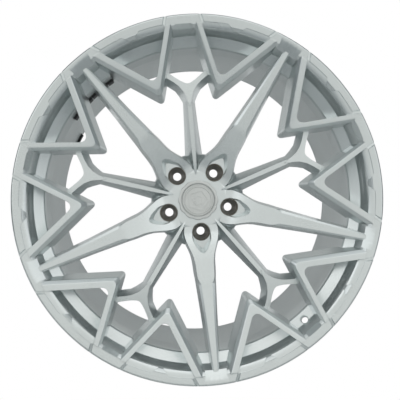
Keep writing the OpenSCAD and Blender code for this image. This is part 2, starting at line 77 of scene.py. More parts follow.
def spot(x: float, y: float, z: float) -> Vector:
    """World place of a point given in wheel millimetres.

    Args:
        x: Distance to the right in the wheel's plane.
        y: Distance up in the wheel's plane.
        z: Height above the mounting face, towards the front.

    Returns:
        The place in metres, in the frame shared with the CAD.
    """
    return Vector((x, -z, y)) * MM


def mix(a: float, b: float, t: float) -> float:
    """Value between a and b at share t."""
    return a + (b - a) * t


def polar(radius: float, angle: float) -> Flat:
    """Plane point at a radius and an angle in degrees."""
    return radius * math.cos(math.radians(angle)), radius * math.sin(math.radians(angle))


def arc(centre: Flat, radius: float, start: float, end: float, steps: int) -> list[Flat]:
    """Points of an arc.

    Args:
        centre: Centre of the arc.
        radius: Radius of the arc.
        start: First angle in degrees.
        end: Last angle in degrees.
        steps: Number of chords.

    Returns:
        steps + 1 points.
    """
    points = []
    for i in range(steps + 1):
        x, y = polar(radius, mix(start, end, i / steps))
        points.append((centre[0] + x, centre[1] + y))
    return points


def soften(corners: Sequence[Corner], steps: int = 3) -> list[Flat]:
    """Rounds the corners of a closed outline.

    Args:
        corners: Points with the radius that each corner gets.
        steps: Chords in each rounding.

    Returns:
        The outline's points, in the same sense.
    """
    points: list[Flat] = []
    count = len(corners)
    for i, (x, y, radius) in enumerate(corners):
        if radius <= 0:
            points.append((x, y))
            continue
        here = Vector((x, y))
        before = Vector(corners[i - 1][:2]) - here
        after = Vector(corners[(i + 1) % count][:2]) - here
        angle = before.angle(after)
        reach = radius / math.tan(angle / 2)
        reach = min(reach, before.length * 0.48, after.length * 0.48)
        start = here + before.normalized() * reach
        end = here + after.normalized() * reach
        for k in range(steps + 1):
            t = k / steps
            bent = start * (1 - t) ** 2 + here * 2 * t * (1 - t) + end * t**2
            points.append((bent.x, bent.y))
    return points


# ---------- shaping with operators ----------


class Cut(Enum):
    """What one closed form does to another."""

    AWAY = "DIFFERENCE"
    JOIN = "UNION"
    KEEP = "INTERSECT"


def deselect() -> None:
    """Leaves nothing selected, in object mode."""
    if bpy.context.object is not None and bpy.context.object.mode == "EDIT":
        bpy.ops.object.mode_set(mode="OBJECT")
    bpy.ops.object.select_all(action="DESELECT")


def choose(obj: bpy.types.Object) -> None:
    """Makes one object the only selected one, and the active one."""
    deselect()
    obj.hide_set(False)
    obj.select_set(True)
    bpy.context.view_layer.objects.active = obj


class Bench:
    """A mesh on the bench, shaped in edit mode from traced outlines.

    Attributes:
        obj: The object being shaped.
    """

    def __init__(self, name: str) -> None:
        """Starts an empty piece.

        Args:
            name: Name of the piece.
        """
        deselect()
        bpy.ops.mesh.primitive_plane_add(size=MM, location=(0, 0, 0))
        self.obj = bpy.context.active_object
        self.obj.name = name
        self.obj.data.name = name
        bpy.ops.object.mode_set(mode="EDIT")
        bpy.ops.mesh.delete(type="VERT")

    def trace(self, points: Sequence[Vector]) -> None:
        """Draws a closed outline from a single vertex and fills it.

        Args:
            points: The outline's corners in order.
        """
        bpy.ops.mesh.select_all(action="DESELECT")
        bpy.ops.mesh.primitive_plane_add(size=MM, location=points[0])
        bpy.ops.mesh.merge(type="CENTER")
        for a, b in zip(points, points[1:]):
            bpy.ops.mesh.extrude_region_move(TRANSFORM_OT_translate={"value": b - a})
        bpy.ops.mesh.select_linked()
        bpy.ops.mesh.edge_face_add()

    def carry(self, start: Sequence[Vector], end: Sequence[Vector]) -> None:
        """Extrudes the selected face and moves its corners to the next station.

        Args:
            start: The face's corners as they are.
            end: Where each of them goes.
        """
        bpy.ops.mesh.extrude_region_move(TRANSFORM_OT_translate={"value": (0, 0, 0)})
        mesh = bmesh.from_edit_mesh(self.obj.data)
        ring = [v for v in mesh.verts if v.select]
        order = [min(ring, key=lambda v, p=p: (v.co - p).length_squared) for p in start]
        mesh.verts.index_update()
        indices = [v.index for v in order]
        for index, a, b in zip(indices, start, end):
            mesh = bmesh.from_edit_mesh(self.obj.data)
            mesh.verts.ensure_lookup_table()
            for vertex in ring:
                vertex.select_set(False)
            mesh.verts[index].select_set(True)
            bpy.ops.transform.translate(value=b - a)
        mesh = bmesh.from_edit_mesh(self.obj.data)
        mesh.verts.ensure_lookup_table()
        for index in indices:
            mesh.verts[index].select_set(True)
        mesh.select_flush(True)
        bmesh.update_edit_mesh(self.obj.data)

    def loft(self, rings: Sequence[Sequence[Vector]]) -> "Bench":
        """Builds a closed form through stations of equal size.

        Args:
            rings: The stations in order, each a closed outline.

        Returns:
            The bench itself.
        """
        self.trace(rings[0])
        for a, b in zip(rings, rings[1:]):
            self.carry(a, b)
        return self

    def rise(self, outline: Sequence[Flat], low: float, high: float) -> "Bench":
        """Extrudes a plane outline along the wheel's axis.

        Args:
            outline: The outline in the wheel's plane.
            low: Height of its back.
            high: Height of its front.

        Returns:
            The bench itself.
        """
        self.trace([spot(x, y, low) for x, y in outline])
        bpy.ops.mesh.extrude_region_move(
            TRANSFORM_OT_translate={"value": spot(0, 0, high - low)}
        )
        return self

    def turn(
        self, profile: Sequence[Flat], steps: int, start: float = 0.0, sweep: float = 360.0
    ) -> "Bench":
        """Spins a closed profile around the wheel's axis.

        Args:
            profile: Points of radius and height.
            steps: Number of facets round the sweep.
            start: First angle in degrees.
            sweep: Angle swept in degrees.

        Returns:
            The bench itself.
        """
        along = polar(1, start)
        self.trace([spot(r * along[0], r * along[1], z) for r, z in profile])
        whole = sweep >= 360
        if whole:
            bpy.ops.mesh.delete(type="ONLY_FACE")
            bpy.ops.mesh.select_all(action="SELECT")
        bpy.ops.mesh.spin(
            steps=steps,
            angle=math.radians(sweep),
            center=(0, 0, 0),
            axis=(0, 1, 0),
            use_auto_merge=whole,
        )
        return self

    def round_edges(
        self, width: float, segments: int, test: Callable[[Vector, Vector], bool]
    ) -> "Bench":
        """Rounds the edges that pass a test.

        Args:
            width: Size of the rounding in millimetres.
            segments: Facets across it.
            test: Says of an edge's two ends whether it is meant.

        Returns:
            The bench itself.
        """
        bpy.ops.mesh.select_mode(type="EDGE")
        mesh = bmesh.from_edit_mesh(self.obj.data)
        for edge in mesh.edges:
            edge.select_set(False)
        for edge in mesh.edges:
            if test(edge.verts[0].co, edge.verts[1].co):
                edge.select_set(True)
        bmesh.update_edit_mesh(self.obj.data)
        bpy.ops.mesh.bevel(
            offset=width * MM, segments=segments, affect="EDGES", clamp_overlap=False
        )
        bpy.ops.mesh.select_mode(type="VERT")
        return self

    def done(self, merge: float = 0.0005) -> bpy.types.Object:
        """Merges doubles, turns the faces outwards and leaves edit mode.

        Args:
            merge: Distance in millimetres under which vertices are one.

        Returns:
            The finished object.
        """
        bpy.ops.mesh.select_all(action="SELECT")
        bpy.ops.mesh.remove_doubles(threshold=merge * MM)
        bpy.ops.mesh.normals_make_consistent(inside=False)
        bpy.ops.mesh.select_all(action="DESELECT")
        bpy.ops.object.mode_set(mode="OBJECT")
        return self.obj


def modify(obj: bpy.types.Object, kind: str, **values: object) -> None:
    """Adds a modifier, sets it and applies it.

    Args:
        obj: The object.
        kind: The modifier's type.
        **values: Its settings.
    """
    choose(obj)
    modifier = obj.modifiers.new(kind.title(), kind)
    for key, value in values.items():
        setattr(modifier, key, value)
    bpy.ops.object.modifier_apply(modifier=modifier.name)


def drop(*objects: bpy.types.Object) -> None:
    """Removes helper objects."""
    for obj in objects:
        bpy.data.objects.remove(obj)


def combine(obj: bpy.types.Object, other: bpy.types.Object, how: Cut) -> bpy.types.Object:
    """Cuts or joins one closed form with another, which is used up.

    Args:
        obj: The form that stays.
        other: The form that is used.
        how: What the other form does.

    Returns:
        The form that stays.
    """
    modify(obj, "BOOLEAN", object=other, operation=how.value, solver="EXACT")
    drop(other)
    return obj


def ease(obj: bpy.types.Object, width: float, segments: int = 2, angle: float = 28) -> None:
    """Rounds all sharp edges of a form.

    Args:
        obj: The form.
        width: Size of the rounding in millimetres.
        segments: Facets across it.
        angle: Angle in degrees from which an edge counts as sharp.
    """
    modify(
        obj,
        "BEVEL",
        width=width * MM,
        segments=segments,
        limit_method="ANGLE",
        angle_limit=math.radians(angle),
        use_clamp_overlap=True,
        harden_normals=False,
    )


def smooth(obj: bpy.types.Object, angle: float = 32) -> None:
    """Shades an object smooth, with edges sharper than the angle kept."""
    choose(obj)
    bpy.ops.object.shade_smooth_by_angle(angle=math.radians(angle))


def turned_copy(
    obj: bpy.types.Object, name: str, angle: float, mirrored: bool = False
) -> bpy.types.Object:
    """Copies a piece to another place around the wheel, with its own mesh.

    Args:
        obj: The piece, made along the x axis.
        name: The copy's name.
        angle: Angle in degrees to turn it by.
        mirrored: Whether it is mirrored across the x axis first.

    Returns:
        The copy.
    """
    copy = obj.copy()
    copy.data = obj.data.copy()
    copy.name = name
    copy.data.name = name
    bpy.context.collection.objects.link(copy)
    place = Matrix.Rotation(-math.radians(angle), 4, "Y")
    if mirrored:
        place = place @ Matrix.Diagonal((1, 1, -1, 1))
    copy.data.transform(place)
    if mirrored:
        copy.data.flip_normals()
    return copy


def join(name: str, objects: Sequence[bpy.types.Object]) -> bpy.types.Object:
    """Joins objects into one mesh.

    Args:
        name: Name of the joined piece.
        objects: The parts.

    Returns:
        The joined object.
    """
    deselect()
    for obj in objects:
        obj.select_set(True)
    bpy.context.view_layer.objects.active = objects[0]
    if len(objects) > 1:
        bpy.ops.object.join()
    joined = bpy.context.view_layer.objects.active
    joined.name = name
    joined.data.name = name
    return joined


# ---------- finishes ----------


@dataclass(frozen=True)
class Tone:
    """A colour as linear red, green and blue."""

    red: float
    green: float
    blue: float

    def rgba(self) -> tuple[float, float, float, float]:
        """The colour with full alpha."""
        return self.red, self.green, self.blue, 1.0


@dataclass(frozen=True)
class Finish:
    """A surface finish with fine variation of its colour, gloss and grain.

    Attributes:
        name: Name of the material.
        slot: The record's material slot; not used.
        light: Colour of the lighter patches.
        dark: Colour of the darker patches.
        metallic: Share of metal in the surface.
        gloss: Lowest and highest roughness.
        patch: Scale of the soft variation.
        grain: Scale of the fine grain.
        bump: Height of the grain, in metres.
        coat: Weight of the clear coat.
        coat_gloss: Roughness of the clear coat.
        stretch: How much the grain is stretched around the axis.
    """

    name: str
    slot: str
    light: Tone
    dark: Tone
    metallic: float
    gloss: Flat
    patch: float
    grain: float
    bump: float
    coat: float = 0.0
    coat_gloss: float = 0.05
    stretch: float = 1.0

    def build(self) -> bpy.types.Material:
        """Makes the node material.

        Returns:
            The material.
        """
        material = bpy.data.materials.new(self.name)
        material.use_nodes = True
        tree = material.node_tree
        tree.nodes.clear()
        out = tree.nodes.new("ShaderNodeOutputMaterial")
        shader = tree.nodes.new("ShaderNodeBsdfPrincipled")
        place = tree.nodes.new("ShaderNodeTexCoord")
        turn = tree.nodes.new("ShaderNodeMapping")
        turn.inputs["Scale"].default_value = (1.0, self.stretch, 1.0)
        patches = self.noise(tree, self.patch, 3.0)
        grains = self.noise(tree, self.grain, 6.0)
        for texture in (patches, grains):
            tree.links.new(turn.outputs["Vector"], texture.inputs["Vector"])
        tree.links.new(place.outputs["Object"], turn.inputs["Vector"])
        blend = tree.nodes.new("ShaderNodeMath")
        blend.operation = "MULTIPLY_ADD"
        blend.inputs[1].default_value = 0.35
        tree.links.new(grains.outputs["Fac"], blend.inputs[0])
        share = tree.nodes.new("ShaderNodeMath")
        share.operation = "MULTIPLY"
        share.inputs[1].default_value = 0.65
        tree.links.new(patches.outputs["Fac"], share.inputs[0])
        tree.links.new(share.outputs["Value"], blend.inputs[2])
        colour = tree.nodes.new("ShaderNodeValToRGB")
        colour.color_ramp.elements[0].position = 0.3
        colour.color_ramp.elements[0].color = self.dark.rgba()
        colour.color_ramp.elements[1].position = 0.7
        colour.color_ramp.elements[1].color = self.light.rgba()
        tree.links.new(blend.outputs["Value"], colour.inputs["Fac"])
        tree.links.new(colour.outputs["Color"], shader.inputs["Base Color"])
        rough = tree.nodes.new("ShaderNodeMapRange")
        rough.inputs["From Min"].default_value = 0.3
        rough.inputs["From Max"].default_value = 0.7
        rough.inputs["To Min"].default_value = self.gloss[0]
        rough.inputs["To Max"].default_value = self.gloss[1]
        tree.links.new(blend.outputs["Value"], rough.inputs["Value"])
        tree.links.new(rough.outputs["Result"], shader.inputs["Roughness"])
        relief = tree.nodes.new("ShaderNodeBump")
        relief.inputs["Strength"].default_value = 1.0
        relief.inputs["Distance"].default_value = self.bump
        tree.links.new(grains.outputs["Fac"], relief.inputs["Height"])
        tree.links.new(relief.outputs["Normal"], shader.inputs["Normal"])
        shader.inputs["Metallic"].default_value = self.metallic
        shader.inputs["Coat Weight"].default_value = self.coat
        shader.inputs["Coat Roughness"].default_value = self.coat_gloss
        tree.links.new(shader.outputs["BSDF"], out.inputs["Surface"])
        return material

    @staticmethod
    def noise(tree: bpy.types.NodeTree, scale: float, detail: float) -> bpy.types.Node:
        """Adds a noise texture.

        Args:
            tree: The material's nodes.
            scale: Scale of the noise, per metre.
            detail: Octaves of the noise.

        Returns:
            The texture node.
        """
        texture = tree.nodes.new("ShaderNodeTexNoise")
        texture.inputs["Scale"].default_value = scale
        texture.inputs["Detail"].default_value = detail
        return texture


SILVER = Finish(
    "silver_paint_finish", "silver_paint", Tone(0.755, 0.80, 0.80), Tone(0.675, 0.715, 0.715),
    0.88, (0.24, 0.33), 9.0, 2600.0, 0.00001, coat=0.35, coat_gloss=0.06,
)
# Same silver paint as SILVER, made lighter and less metallic: painted light standing in for the
# bright sheen on the barrel's inner wall.
BARREL_SILVER_PAINTED_LIGHT = Finish(
    "barrel_painted_light_finish", "silver_paint", Tone(0.88, 0.91, 0.91), Tone(0.81, 0.84, 0.84),
    0.4, (0.34, 0.46), 9.0, 2200.0, 0.00001, coat=0.2, coat_gloss=0.1,
)
SEAT_METAL = Finish(
    "seat_steel_finish", "seat_steel", Tone(0.30, 0.285, 0.25), Tone(0.17, 0.16, 0.14),
    0.85, (0.3, 0.5), 60.0, 900.0, 0.00002, stretch=8.0,
)
CAP_PLASTIC = Finish(
    "cap_plastic_finish", "cap_plastic", Tone(0.05, 0.05, 0.052), Tone(0.03, 0.03, 0.032),
    0.0, (0.45, 0.6), 40.0, 1500.0, 0.00004,
)
CAP_SILVER = Finish(
    "cap_silver_finish", "cap_silver", Tone(0.70, 0.72, 0.71), Tone(0.60, 0.62, 0.61),
    0.8, (0.25, 0.36), 30.0, 1800.0, 0.00002, coat=0.4, coat_gloss=0.08,
)
SPRING = Finish(
    "spring_wire_finish", "spring_wire", Tone(0.5, 0.5, 0.5), Tone(0.35, 0.35, 0.36),
    1.0, (0.2, 0.35), 80.0, 2000.0, 0.00001,
)
TAPE = Finish(
    "tape_finish", "tape", Tone(0.3, 0.31, 0.31), Tone(0.2, 0.21, 0.21),
    0.0, (0.55, 0.75), 90.0, 1500.0, 0.00006,
)
WEIGHT_BLACK = Finish(
    "weight_black_finish", "weight_black", Tone(0.03, 0.03, 0.032), Tone(0.012, 0.012, 0.013),
    0.1, (0.35, 0.55), 70.0, 1200.0, 0.00005,
)


class Palette:
    """Makes each finish once and dresses pieces in it."""

    def __init__(self) -> None:
        """Starts with nothing made."""
        self.made: dict[str, bpy.types.Material] = {}

    def dress(self, obj: bpy.types.Object, finish: Finish) -> None:
        """Gives an object one finish.

        Args:
            obj: The object.
            finish: The finish.
        """
        if finish.name not in self.made:
            self.made[finish.name] = finish.build()
        obj.data.materials.clear()
        obj.data.materials.append(self.made[finish.name])


PALETTE = Palette()


def show(
    obj: bpy.types.Object, body: str, finish: Finish, nodes: Iterable[str], angle: float = 32
) -> None:
    """Finishes a piece: shading, material, the body that it rides on and what it stands for.

    Args:
        obj: The piece.
        body: The CAD body.
        finish: Its finish.
        nodes: CAD nodes that it stands for.
        angle: Angle in degrees from which edges stay sharp.
    """
    smooth(obj, angle)
    modify(obj, "WEIGHTED_NORMAL", keep_sharp=True, weight=60)
    PALETTE.dress(obj, finish)
    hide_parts(*nodes)
    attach(obj, body)
    LOG.info("%s: %d faces", obj.name, len(obj.data.polygons))


# ---------- the rim's own lines ----------


@dataclass(frozen=True)
class RimLines:
    """Radii and heights of the rim, in millimetres.

    Attributes:
        flange_r: Outer radius of both flanges.
        land_r: Inner radius of the front lip's flat face.
        seat_r: Radius of the bead seats.
        wall_r: Radius of the front well at its mouth.
        shoulder_r: Radius at the shoulder above the drop centre.
        well_r: Inner radius of the drop centre.
        rear_r: Inner radius at the rear bead seat.
        lip_z: Height of the front lip's face.
        wall_z: Height where the front well's wall starts.
        shoulder_z: Height of that shoulder.
        floor_z: Height of the front edge of the drop centre.
        split_z: Height where the lip ends and the barrel starts.
        split_r: Outer radius there.
        well_end_z: Height of the rear end of the drop centre.
        seat_z: Height of the front bead seat's end at its flange.
        rear_seat_z: Height of the rear bead seat's end at its flange.
        rear_z: Height of the rear edge.
    """

    flange_r: float = 297.5
    land_r: float = 282.0
    seat_r: float = 280.0
    wall_r: float = 276.0
    shoulder_r: float = 272.0
    well_r: float = 256.0
    rear_r: float = 276.0
    lip_z: float = 112.0
    wall_z: float = 106.0
    shoulder_z: float = 79.0
    floor_z: float = 69.0
    split_z: float = 64.0
    split_r: float = 263.0
    well_end_z: float = 33.0
    seat_z: float = 99.0
    rear_seat_z: float = -142.0
    rear_z: float = -155.0

    def wall_at(self, z: float) -> float:
        """Radius of the front well's wall at a height."""
        share = (z - self.shoulder_z) / (self.wall_z - self.shoulder_z)
        return mix(self.shoulder_r, self.wall_r, share)


RIM = RimLines()


def ring_at(section: Sequence[Flat], angle: float, slant: float = 0.0) -> list[Vector]:
    """Stands a section of radius and height at an angle around the wheel.

    Args:
        section: Points of radius and height.
        angle: Angle in degrees.
        slant: Degrees that the angle grows per 10 mm of radius inside the outermost point.

    Returns:
        The points' places.
    """
    outer = max(r for r, _ in section)
    places = []
    for r, z in section:
        x, y = polar(r, angle + slant * (outer - r) / 10)
        places.append(spot(x, y, z))
    return places


@dataclass
class ChevronLines:
    """Plan of one chevron, in the half sector after a main spoke.

    Attributes:
        main_angle: Angle of the start of the leg beside the main spoke.
        side_angle: Angle of the start of the other leg.
        tip_angle: Angle of the tip.
        reach: Distance from the lip's inner edge to the tip.
        drop: Drop of the face from the lip to the tip.
        main_w: Width of the leg beside the main spoke.
        side_w: Width of the other leg.
        bevel_w: Width of the bevel on the hub side.
        bevel_h: Drop of that bevel.
        depth: Thickness along the axis.
        draft: Growth towards the back on the hub side.
        growth: Growth towards the back on the lip side.
    """

    main_angle: float = 3.6
    side_angle: float = HALF - 3.26
    tip_angle: float = 21.35
    reach: float = 100.6
    drop: float = 34.5
    main_w: float = 15.0
    side_w: float = 12.5
    bevel_w: float = 5.5
    bevel_h: float = 5.0
    depth: float = 50.0
    draft: float = 3.4
    growth: float = 2.0

    def __post_init__(self) -> None:
        """Works out the starts, the tip and the legs' directions and normals."""
        self.main_start = Vector(polar(RIM.land_r, self.main_angle))
        self.side_start = Vector(polar(RIM.land_r, self.side_angle))
        self.tip = Vector(polar(RIM.land_r - self.reach, self.tip_angle))
        self.main_dir = (self.tip - self.main_start).normalized()
        self.side_dir = (self.tip - self.side_start).normalized()
        self.main_normal = Vector((self.main_dir.y, -self.main_dir.x))
        self.side_normal = Vector((-self.side_dir.y, self.side_dir.x))

    def corner(self, main_off: float, side_off: float) -> Vector:
        """Point where the two legs' lines meet at given offsets from the hub-side lines.

        Args:
            main_off: Offset of the main leg's line.
            side_off: Offset of the side leg's line.

        Returns:
            The point in the plane.
        """
        n1, n2 = self.main_normal, self.side_normal
        det = n1.x * n2.y - n1.y * n2.x
        return self.tip + Vector(
            ((main_off * n2.y - side_off * n1.y) / det, (n1.x * side_off - n2.x * main_off) / det)
        )

    def on_face(self, point: Vector, depth: float) -> Vector:
        """World place under the chevron's face.

        Args:
            point: Point in the plane.
            depth: Depth below the face.

        Returns:
            The place.
        """
        slope = self.drop / self.reach
        return spot(point.x, point.y, RIM.lip_z - slope * (RIM.land_r - point.length) - depth)

    def section(self, width: float) -> list[tuple[float, float]]:
        """Offsets and depths of a leg's section of a given width."""
        share = width / self.main_w
        draft, growth, round_off = self.draft * share, self.growth * share, 2.0 * share
        return [
            (width, 0.0),
            (self.bevel_w * share, 0.0),
            (0.0, self.bevel_h),
            (-draft, self.depth - 2.0),
            (-draft + round_off, self.depth),
            (width + growth - round_off, self.depth),
            (width + growth, self.depth - 2.0),
        ]


CHEVRON = ChevronLines()


# ---------- the forging ----------


@dataclass
class OuterLip:
    """The front lip: flange, flat face with milled steps, front well and the wall behind it.

    Attributes:
        edge: Corner radius of the flange.
        step_w: Width of the milled step's floor.
        step_h: Depth of the milled step.
        near: Angles of the step next to a main spoke.
        far: Angles of the step next to a split spoke.
        groove_w: Width of the groove beside each leg.
        groove_h: Depth of the groove.
        bridge_w: Width of the bevel above each main spoke.
        bridge_h: Drop of that bevel.
        recess: Angles of the shallow recess in the well's wall.
        recess_z: Heights of the recess's lower and upper edge.
        recess_h: Depth of the recess.
        valve_r: Radius of the valve hole.
        valve_at: Radius and height where the valve hole's axis meets the shoulder.
        valve_dir: Direction of that axis, outwards and towards the back, as radius and height.
        valve_mouth: Radius of the flat around the valve hole.
    """

    edge: float = 4.0
    step_w: float = 6.0
    step_h: float = 4.5
    near: Flat = (6.8, 15.4)
    far: Flat = (21.4, 29.8)
    groove_w: float = 5.0
    groove_h: float = 3.5
    bridge_w: float = 16.0
    bridge_h: float = 12.0
    recess: Flat = (10.7, 27.4)
    recess_z: Flat = (86.0, 100.5)
    recess_h: float = 1.0
    valve_r: float = 5.7
    valve_at: Flat = (268.0, 76.0)
    valve_dir: Flat = (-0.6, 0.8)
    valve_mouth: float = 7.2

    def profile(self) -> list[Flat]:
        """Section of the lip, as radius and height."""
        rim = RIM
        tube = rim.flange_r - self.edge
        return [
            *arc((tube, rim.lip_z - self.edge), self.edge, 90, 0, 6),
            *arc((tube, rim.seat_z + self.edge), self.edge, 0, -90, 5),
            *soften([
                (rim.seat_r, rim.seat_z, 1.5), (rim.seat_r, 81, 0), (rim.seat_r + 1.5, 79, 1),
                (rim.seat_r + 1.5, 77, 1), (rim.split_r, rim.split_z, 0),
                (rim.well_r, rim.split_z, 0),
                (rim.well_r, rim.floor_z, 4), (rim.shoulder_r, rim.shoulder_z, 2.5),
                (rim.wall_r, rim.wall_z, 1.5), (rim.land_r, rim.lip_z, 1.2),
            ], 3),
        ]

    def step(self, name: str, angles: Flat, ends: Flat) -> bpy.types.Object:
        """Form that mills one step between two angles.

        Args:
            name: Name of the form.
            angles: First and last angle.
            ends: Slant of either end.

        Returns:
            The closed form.
        """
        outer = RIM.land_r + self.step_w / 2
        floor = RIM.lip_z - self.step_h
        section = [
            (outer + 0.6, RIM.lip_z + 1), (outer, floor + 1.2), (outer - 0.6, floor + 0.6),
            (outer - self.step_w, floor - 1.2), (RIM.wall_r - 1.5, RIM.wall_z - 3.5),
            (RIM.wall_r - 3, RIM.lip_z + 1),
        ]
        count = 8
        rings = []
        for i in range(count + 1):
            slant = ends[0] if i == 0 else ends[1] if i == count else 0.0
            rings.append(ring_at(section, mix(*angles, i / count), slant))
        return Bench(name).loft(rings).done()

    def groove(self, name: str, start: Vector, along: Vector, across: Vector) -> bpy.types.Object:
        """Form that mills the groove beside a leg.

        Args:
            name: Name of the form.
            start: Point on the leg's rim-side line.
            along: Direction of the leg, towards its tip.
            across: Direction away from the leg.

        Returns:
            The closed form.
        """
        top, low = RIM.lip_z + 1, RIM.lip_z - self.groove_h
        section = [(-0.4, top), (0, low + 0.8), (0.8, low), (self.groove_w - 0.8, low),
                   (self.groove_w, low + 0.8), (self.groove_w + 0.6, top)]
        rings = []
        for reach in (-48.0, 16.0):
            base = start + along * reach
            rings.append([
                spot(base.x + across.x * w, base.y + across.y * w, z) for w, z in section
            ])
        return Bench(name).loft(rings).done()

    def bridge(self, name: str, width: float, height: float, half: float) -> bpy.types.Object:
        """Form that bevels a bridge of the lip between two legs.

        Args:
            name: Name of the form.
            width: Radial width of the bevel.
            height: Drop of the bevel.
            half: Half the bridge's width.

        Returns:
            The closed form.
        """
        outer = RIM.land_r + width / 2
        far = 1.6
        section = [
            (outer, RIM.lip_z), (outer, RIM.lip_z + 1),
            (outer - far * width, RIM.lip_z + 1), (outer - far * width, RIM.lip_z - far * height),
        ]
        rings = []
        for share in (-1.0, -0.5, 0.0, 0.5, 1.0):
            y = half * share
            rings.append([spot(math.sqrt(r * r - y * y), y, z) for r, z in section])
        return Bench(name).loft(rings).done()

    def wall_recess(self) -> bpy.types.Object:
        """Form that presses the long shallow recess into the well's wall."""
        low, high = self.recess_z
        first, last = self.recess
        half = (high - low) / 2
        mid = (high + low) / 2
        end = math.degrees(half / RIM.wall_r)
        swings = [end * (1 - math.cos(math.radians(18 * k))) for k in range(1, 6)]
        angles = [first + swing for swing in swings]
        angles += [mix(first, last, t) for t in (0.25, 0.4, 0.55, 0.7, 0.8)]
        angles += [last - swing for swing in reversed(swings)]
        rings = []
        for angle in angles:
            gone = min(angle - first, last - angle, end)
            tall = half * math.sqrt(max(1 - (1 - gone / end) ** 2, 0.0))
            top, bottom = mid + tall, mid - tall
            section = [
                (RIM.wall_at(top) - 3, top + 4.5),
                (RIM.wall_at(top) + self.recess_h, mid + 0.45 * tall),
                (RIM.wall_at(bottom) + self.recess_h, mid - 0.45 * tall),
                (RIM.wall_at(bottom) - 3, bottom - 4.5),
            ]
            rings.append(ring_at(section, angle))
        return Bench("lip_recess").loft(rings).done()

    def build(self) -> None:
        """Builds the lip from one half sector, mirrored and repeated."""
        lines = CHEVRON
        # a half sector with open ends
        wedge = Bench("lip_half").turn(self.profile(), 36, 0.0, HALF).done()
        cutters = [
            self.step("near_step", self.near, (0.0, 2.2)),
            self.step("far_step", self.far, (-2.2, 0.0)),
            self.groove("near_groove", lines.main_start + lines.main_normal * lines.main_w,
                        lines.main_dir, lines.main_normal),
            self.groove("far_groove", lines.side_start + lines.side_normal * lines.side_w,
                        lines.side_dir, lines.side_normal),
            self.bridge("main_bridge", self.bridge_w, self.bridge_h, lines.main_start.y),
            turned_copy(self.bridge("split_bridge", 6, 8, 14.0), "split_bridge_in", HALF),
            self.wall_recess(),
        ]
        for cutter in cutters:
            combine(wedge, cutter, Cut.AWAY)
        drop(bpy.data.objects["split_bridge"])
        self.open_ends(wedge)
        copies = []
        for i in range(ARMS):
            copies.append(turned_copy(wedge, f"lip_a{i}", MAIN_ANGLE + i * PITCH))
            copies.append(turned_copy(wedge, f"lip_b{i}", MAIN_ANGLE + i * PITCH, True))
        drop(wedge)
        lip = join("outer_lip_piece", copies)
        choose(lip)
        bpy.ops.object.mode_set(mode="EDIT")
        bpy.ops.mesh.select_all(action="SELECT")
        bpy.ops.mesh.remove_doubles(threshold=0.01 * MM)
        bpy.ops.mesh.normals_make_consistent(inside=False)
        bpy.ops.object.mode_set(mode="OBJECT")
        combine(lip, self.valve(), Cut.AWAY)
        ease(lip, 0.45, 2, 30)
        show(lip, "wheel", SILVER, ["outer_lip"])

    @staticmethod
    def open_ends(wedge: bpy.types.Object) -> None:
        """Takes away the faces that close the half sector's two ends.

        Args:
            wedge: The half sector.
        """
        choose(wedge)
        bpy.ops.object.mode_set(mode="EDIT")
        bpy.ops.mesh.select_mode(type="FACE")
        mesh = bmesh.from_edit_mesh(wedge.data)
        for face in mesh.faces:
            angles = [math.degrees(math.atan2(v.co.z, v.co.x)) for v in face.verts]
            face.select_set(
                any(all(abs(angle - end) < 0.002 for angle in angles) for end in (0.0, HALF))
            )
        bmesh.update_edit_mesh(wedge.data)
        bpy.ops.mesh.delete(type="FACE")
        bpy.ops.mesh.select_mode(type="VERT")
        bpy.ops.object.mode_set(mode="OBJECT")

    def valve(self) -> bpy.types.Object:
        """Form that bores the valve hole and its small countersink."""
        angle = MAIN_ANGLE - HALF - PITCH
        along, middle = self.valve_dir, self.valve_at
        sides = 32
        levels = (
            (-16, self.valve_r), (-1.0, self.valve_r), (0.0, 6.6),
            (0.6, self.valve_mouth), (10, self.valve_mouth),
        )
        rings = []
        for reach, radius in levels:
            ring = []
            for k in range(sides):
                u, v = polar(radius, k * 360 / sides)
                r = middle[0] + along[0] * reach + along[1] * u
                z = middle[1] + along[1] * reach - along[0] * u
                cos, sin = polar(1, angle)
                ring.append(spot(r * cos - v * sin, r * sin + v * cos, z))
            rings.append(ring)
        return Bench("valve_cut").loft(rings).done()


@dataclass
class Barrel:
    """The barrel behind the lip, with its drop centre and rear flange.

    Attributes:
        edge: Corner radius of the rear flange.
        well_out_r: Outer radius of the drop centre.
        steps: Facets around the wheel.
    """

    edge: float = 4.0
    well_out_r: float = 261.0
    steps: int = 240

    def build(self) -> None:
        """Turns the barrel from its section."""
        rim = RIM
        tube = rim.flange_r - self.edge
        profile = [
            *soften([
                (rim.split_r, rim.split_z, 0), (self.well_out_r, rim.split_z - 3, 2),
                (self.well_out_r, rim.well_end_z, 14),
                (rim.seat_r, -109, 0), (rim.seat_r + 1.5, -117, 2), (rim.seat_r + 1.5, -121, 2),
                (rim.seat_r, -123, 0), (rim.seat_r, rim.rear_seat_z, 1.5),
            ], 3),
            *arc((tube, rim.rear_seat_z - self.edge), self.edge, 90, 0, 5),
            *arc((tube, rim.rear_z + self.edge), self.edge, 0, -90, 5),
            *soften([
                (rim.rear_r + 5, rim.rear_z, 2), (rim.rear_r, rim.rear_z + 5, 2),
                (rim.rear_r, rim.rear_seat_z, 6), (rim.well_r, rim.well_end_z, 14),
                (rim.well_r, rim.split_z, 0),
            ], 3),
        ]
        piece = Bench("barrel_piece").turn(profile, self.steps).done()
        # The barrel wears the lighter copy of the silver paint, which is painted light.
        show(piece, "wheel", BARREL_SILVER_PAINTED_LIGHT, ["barrel"], 25)


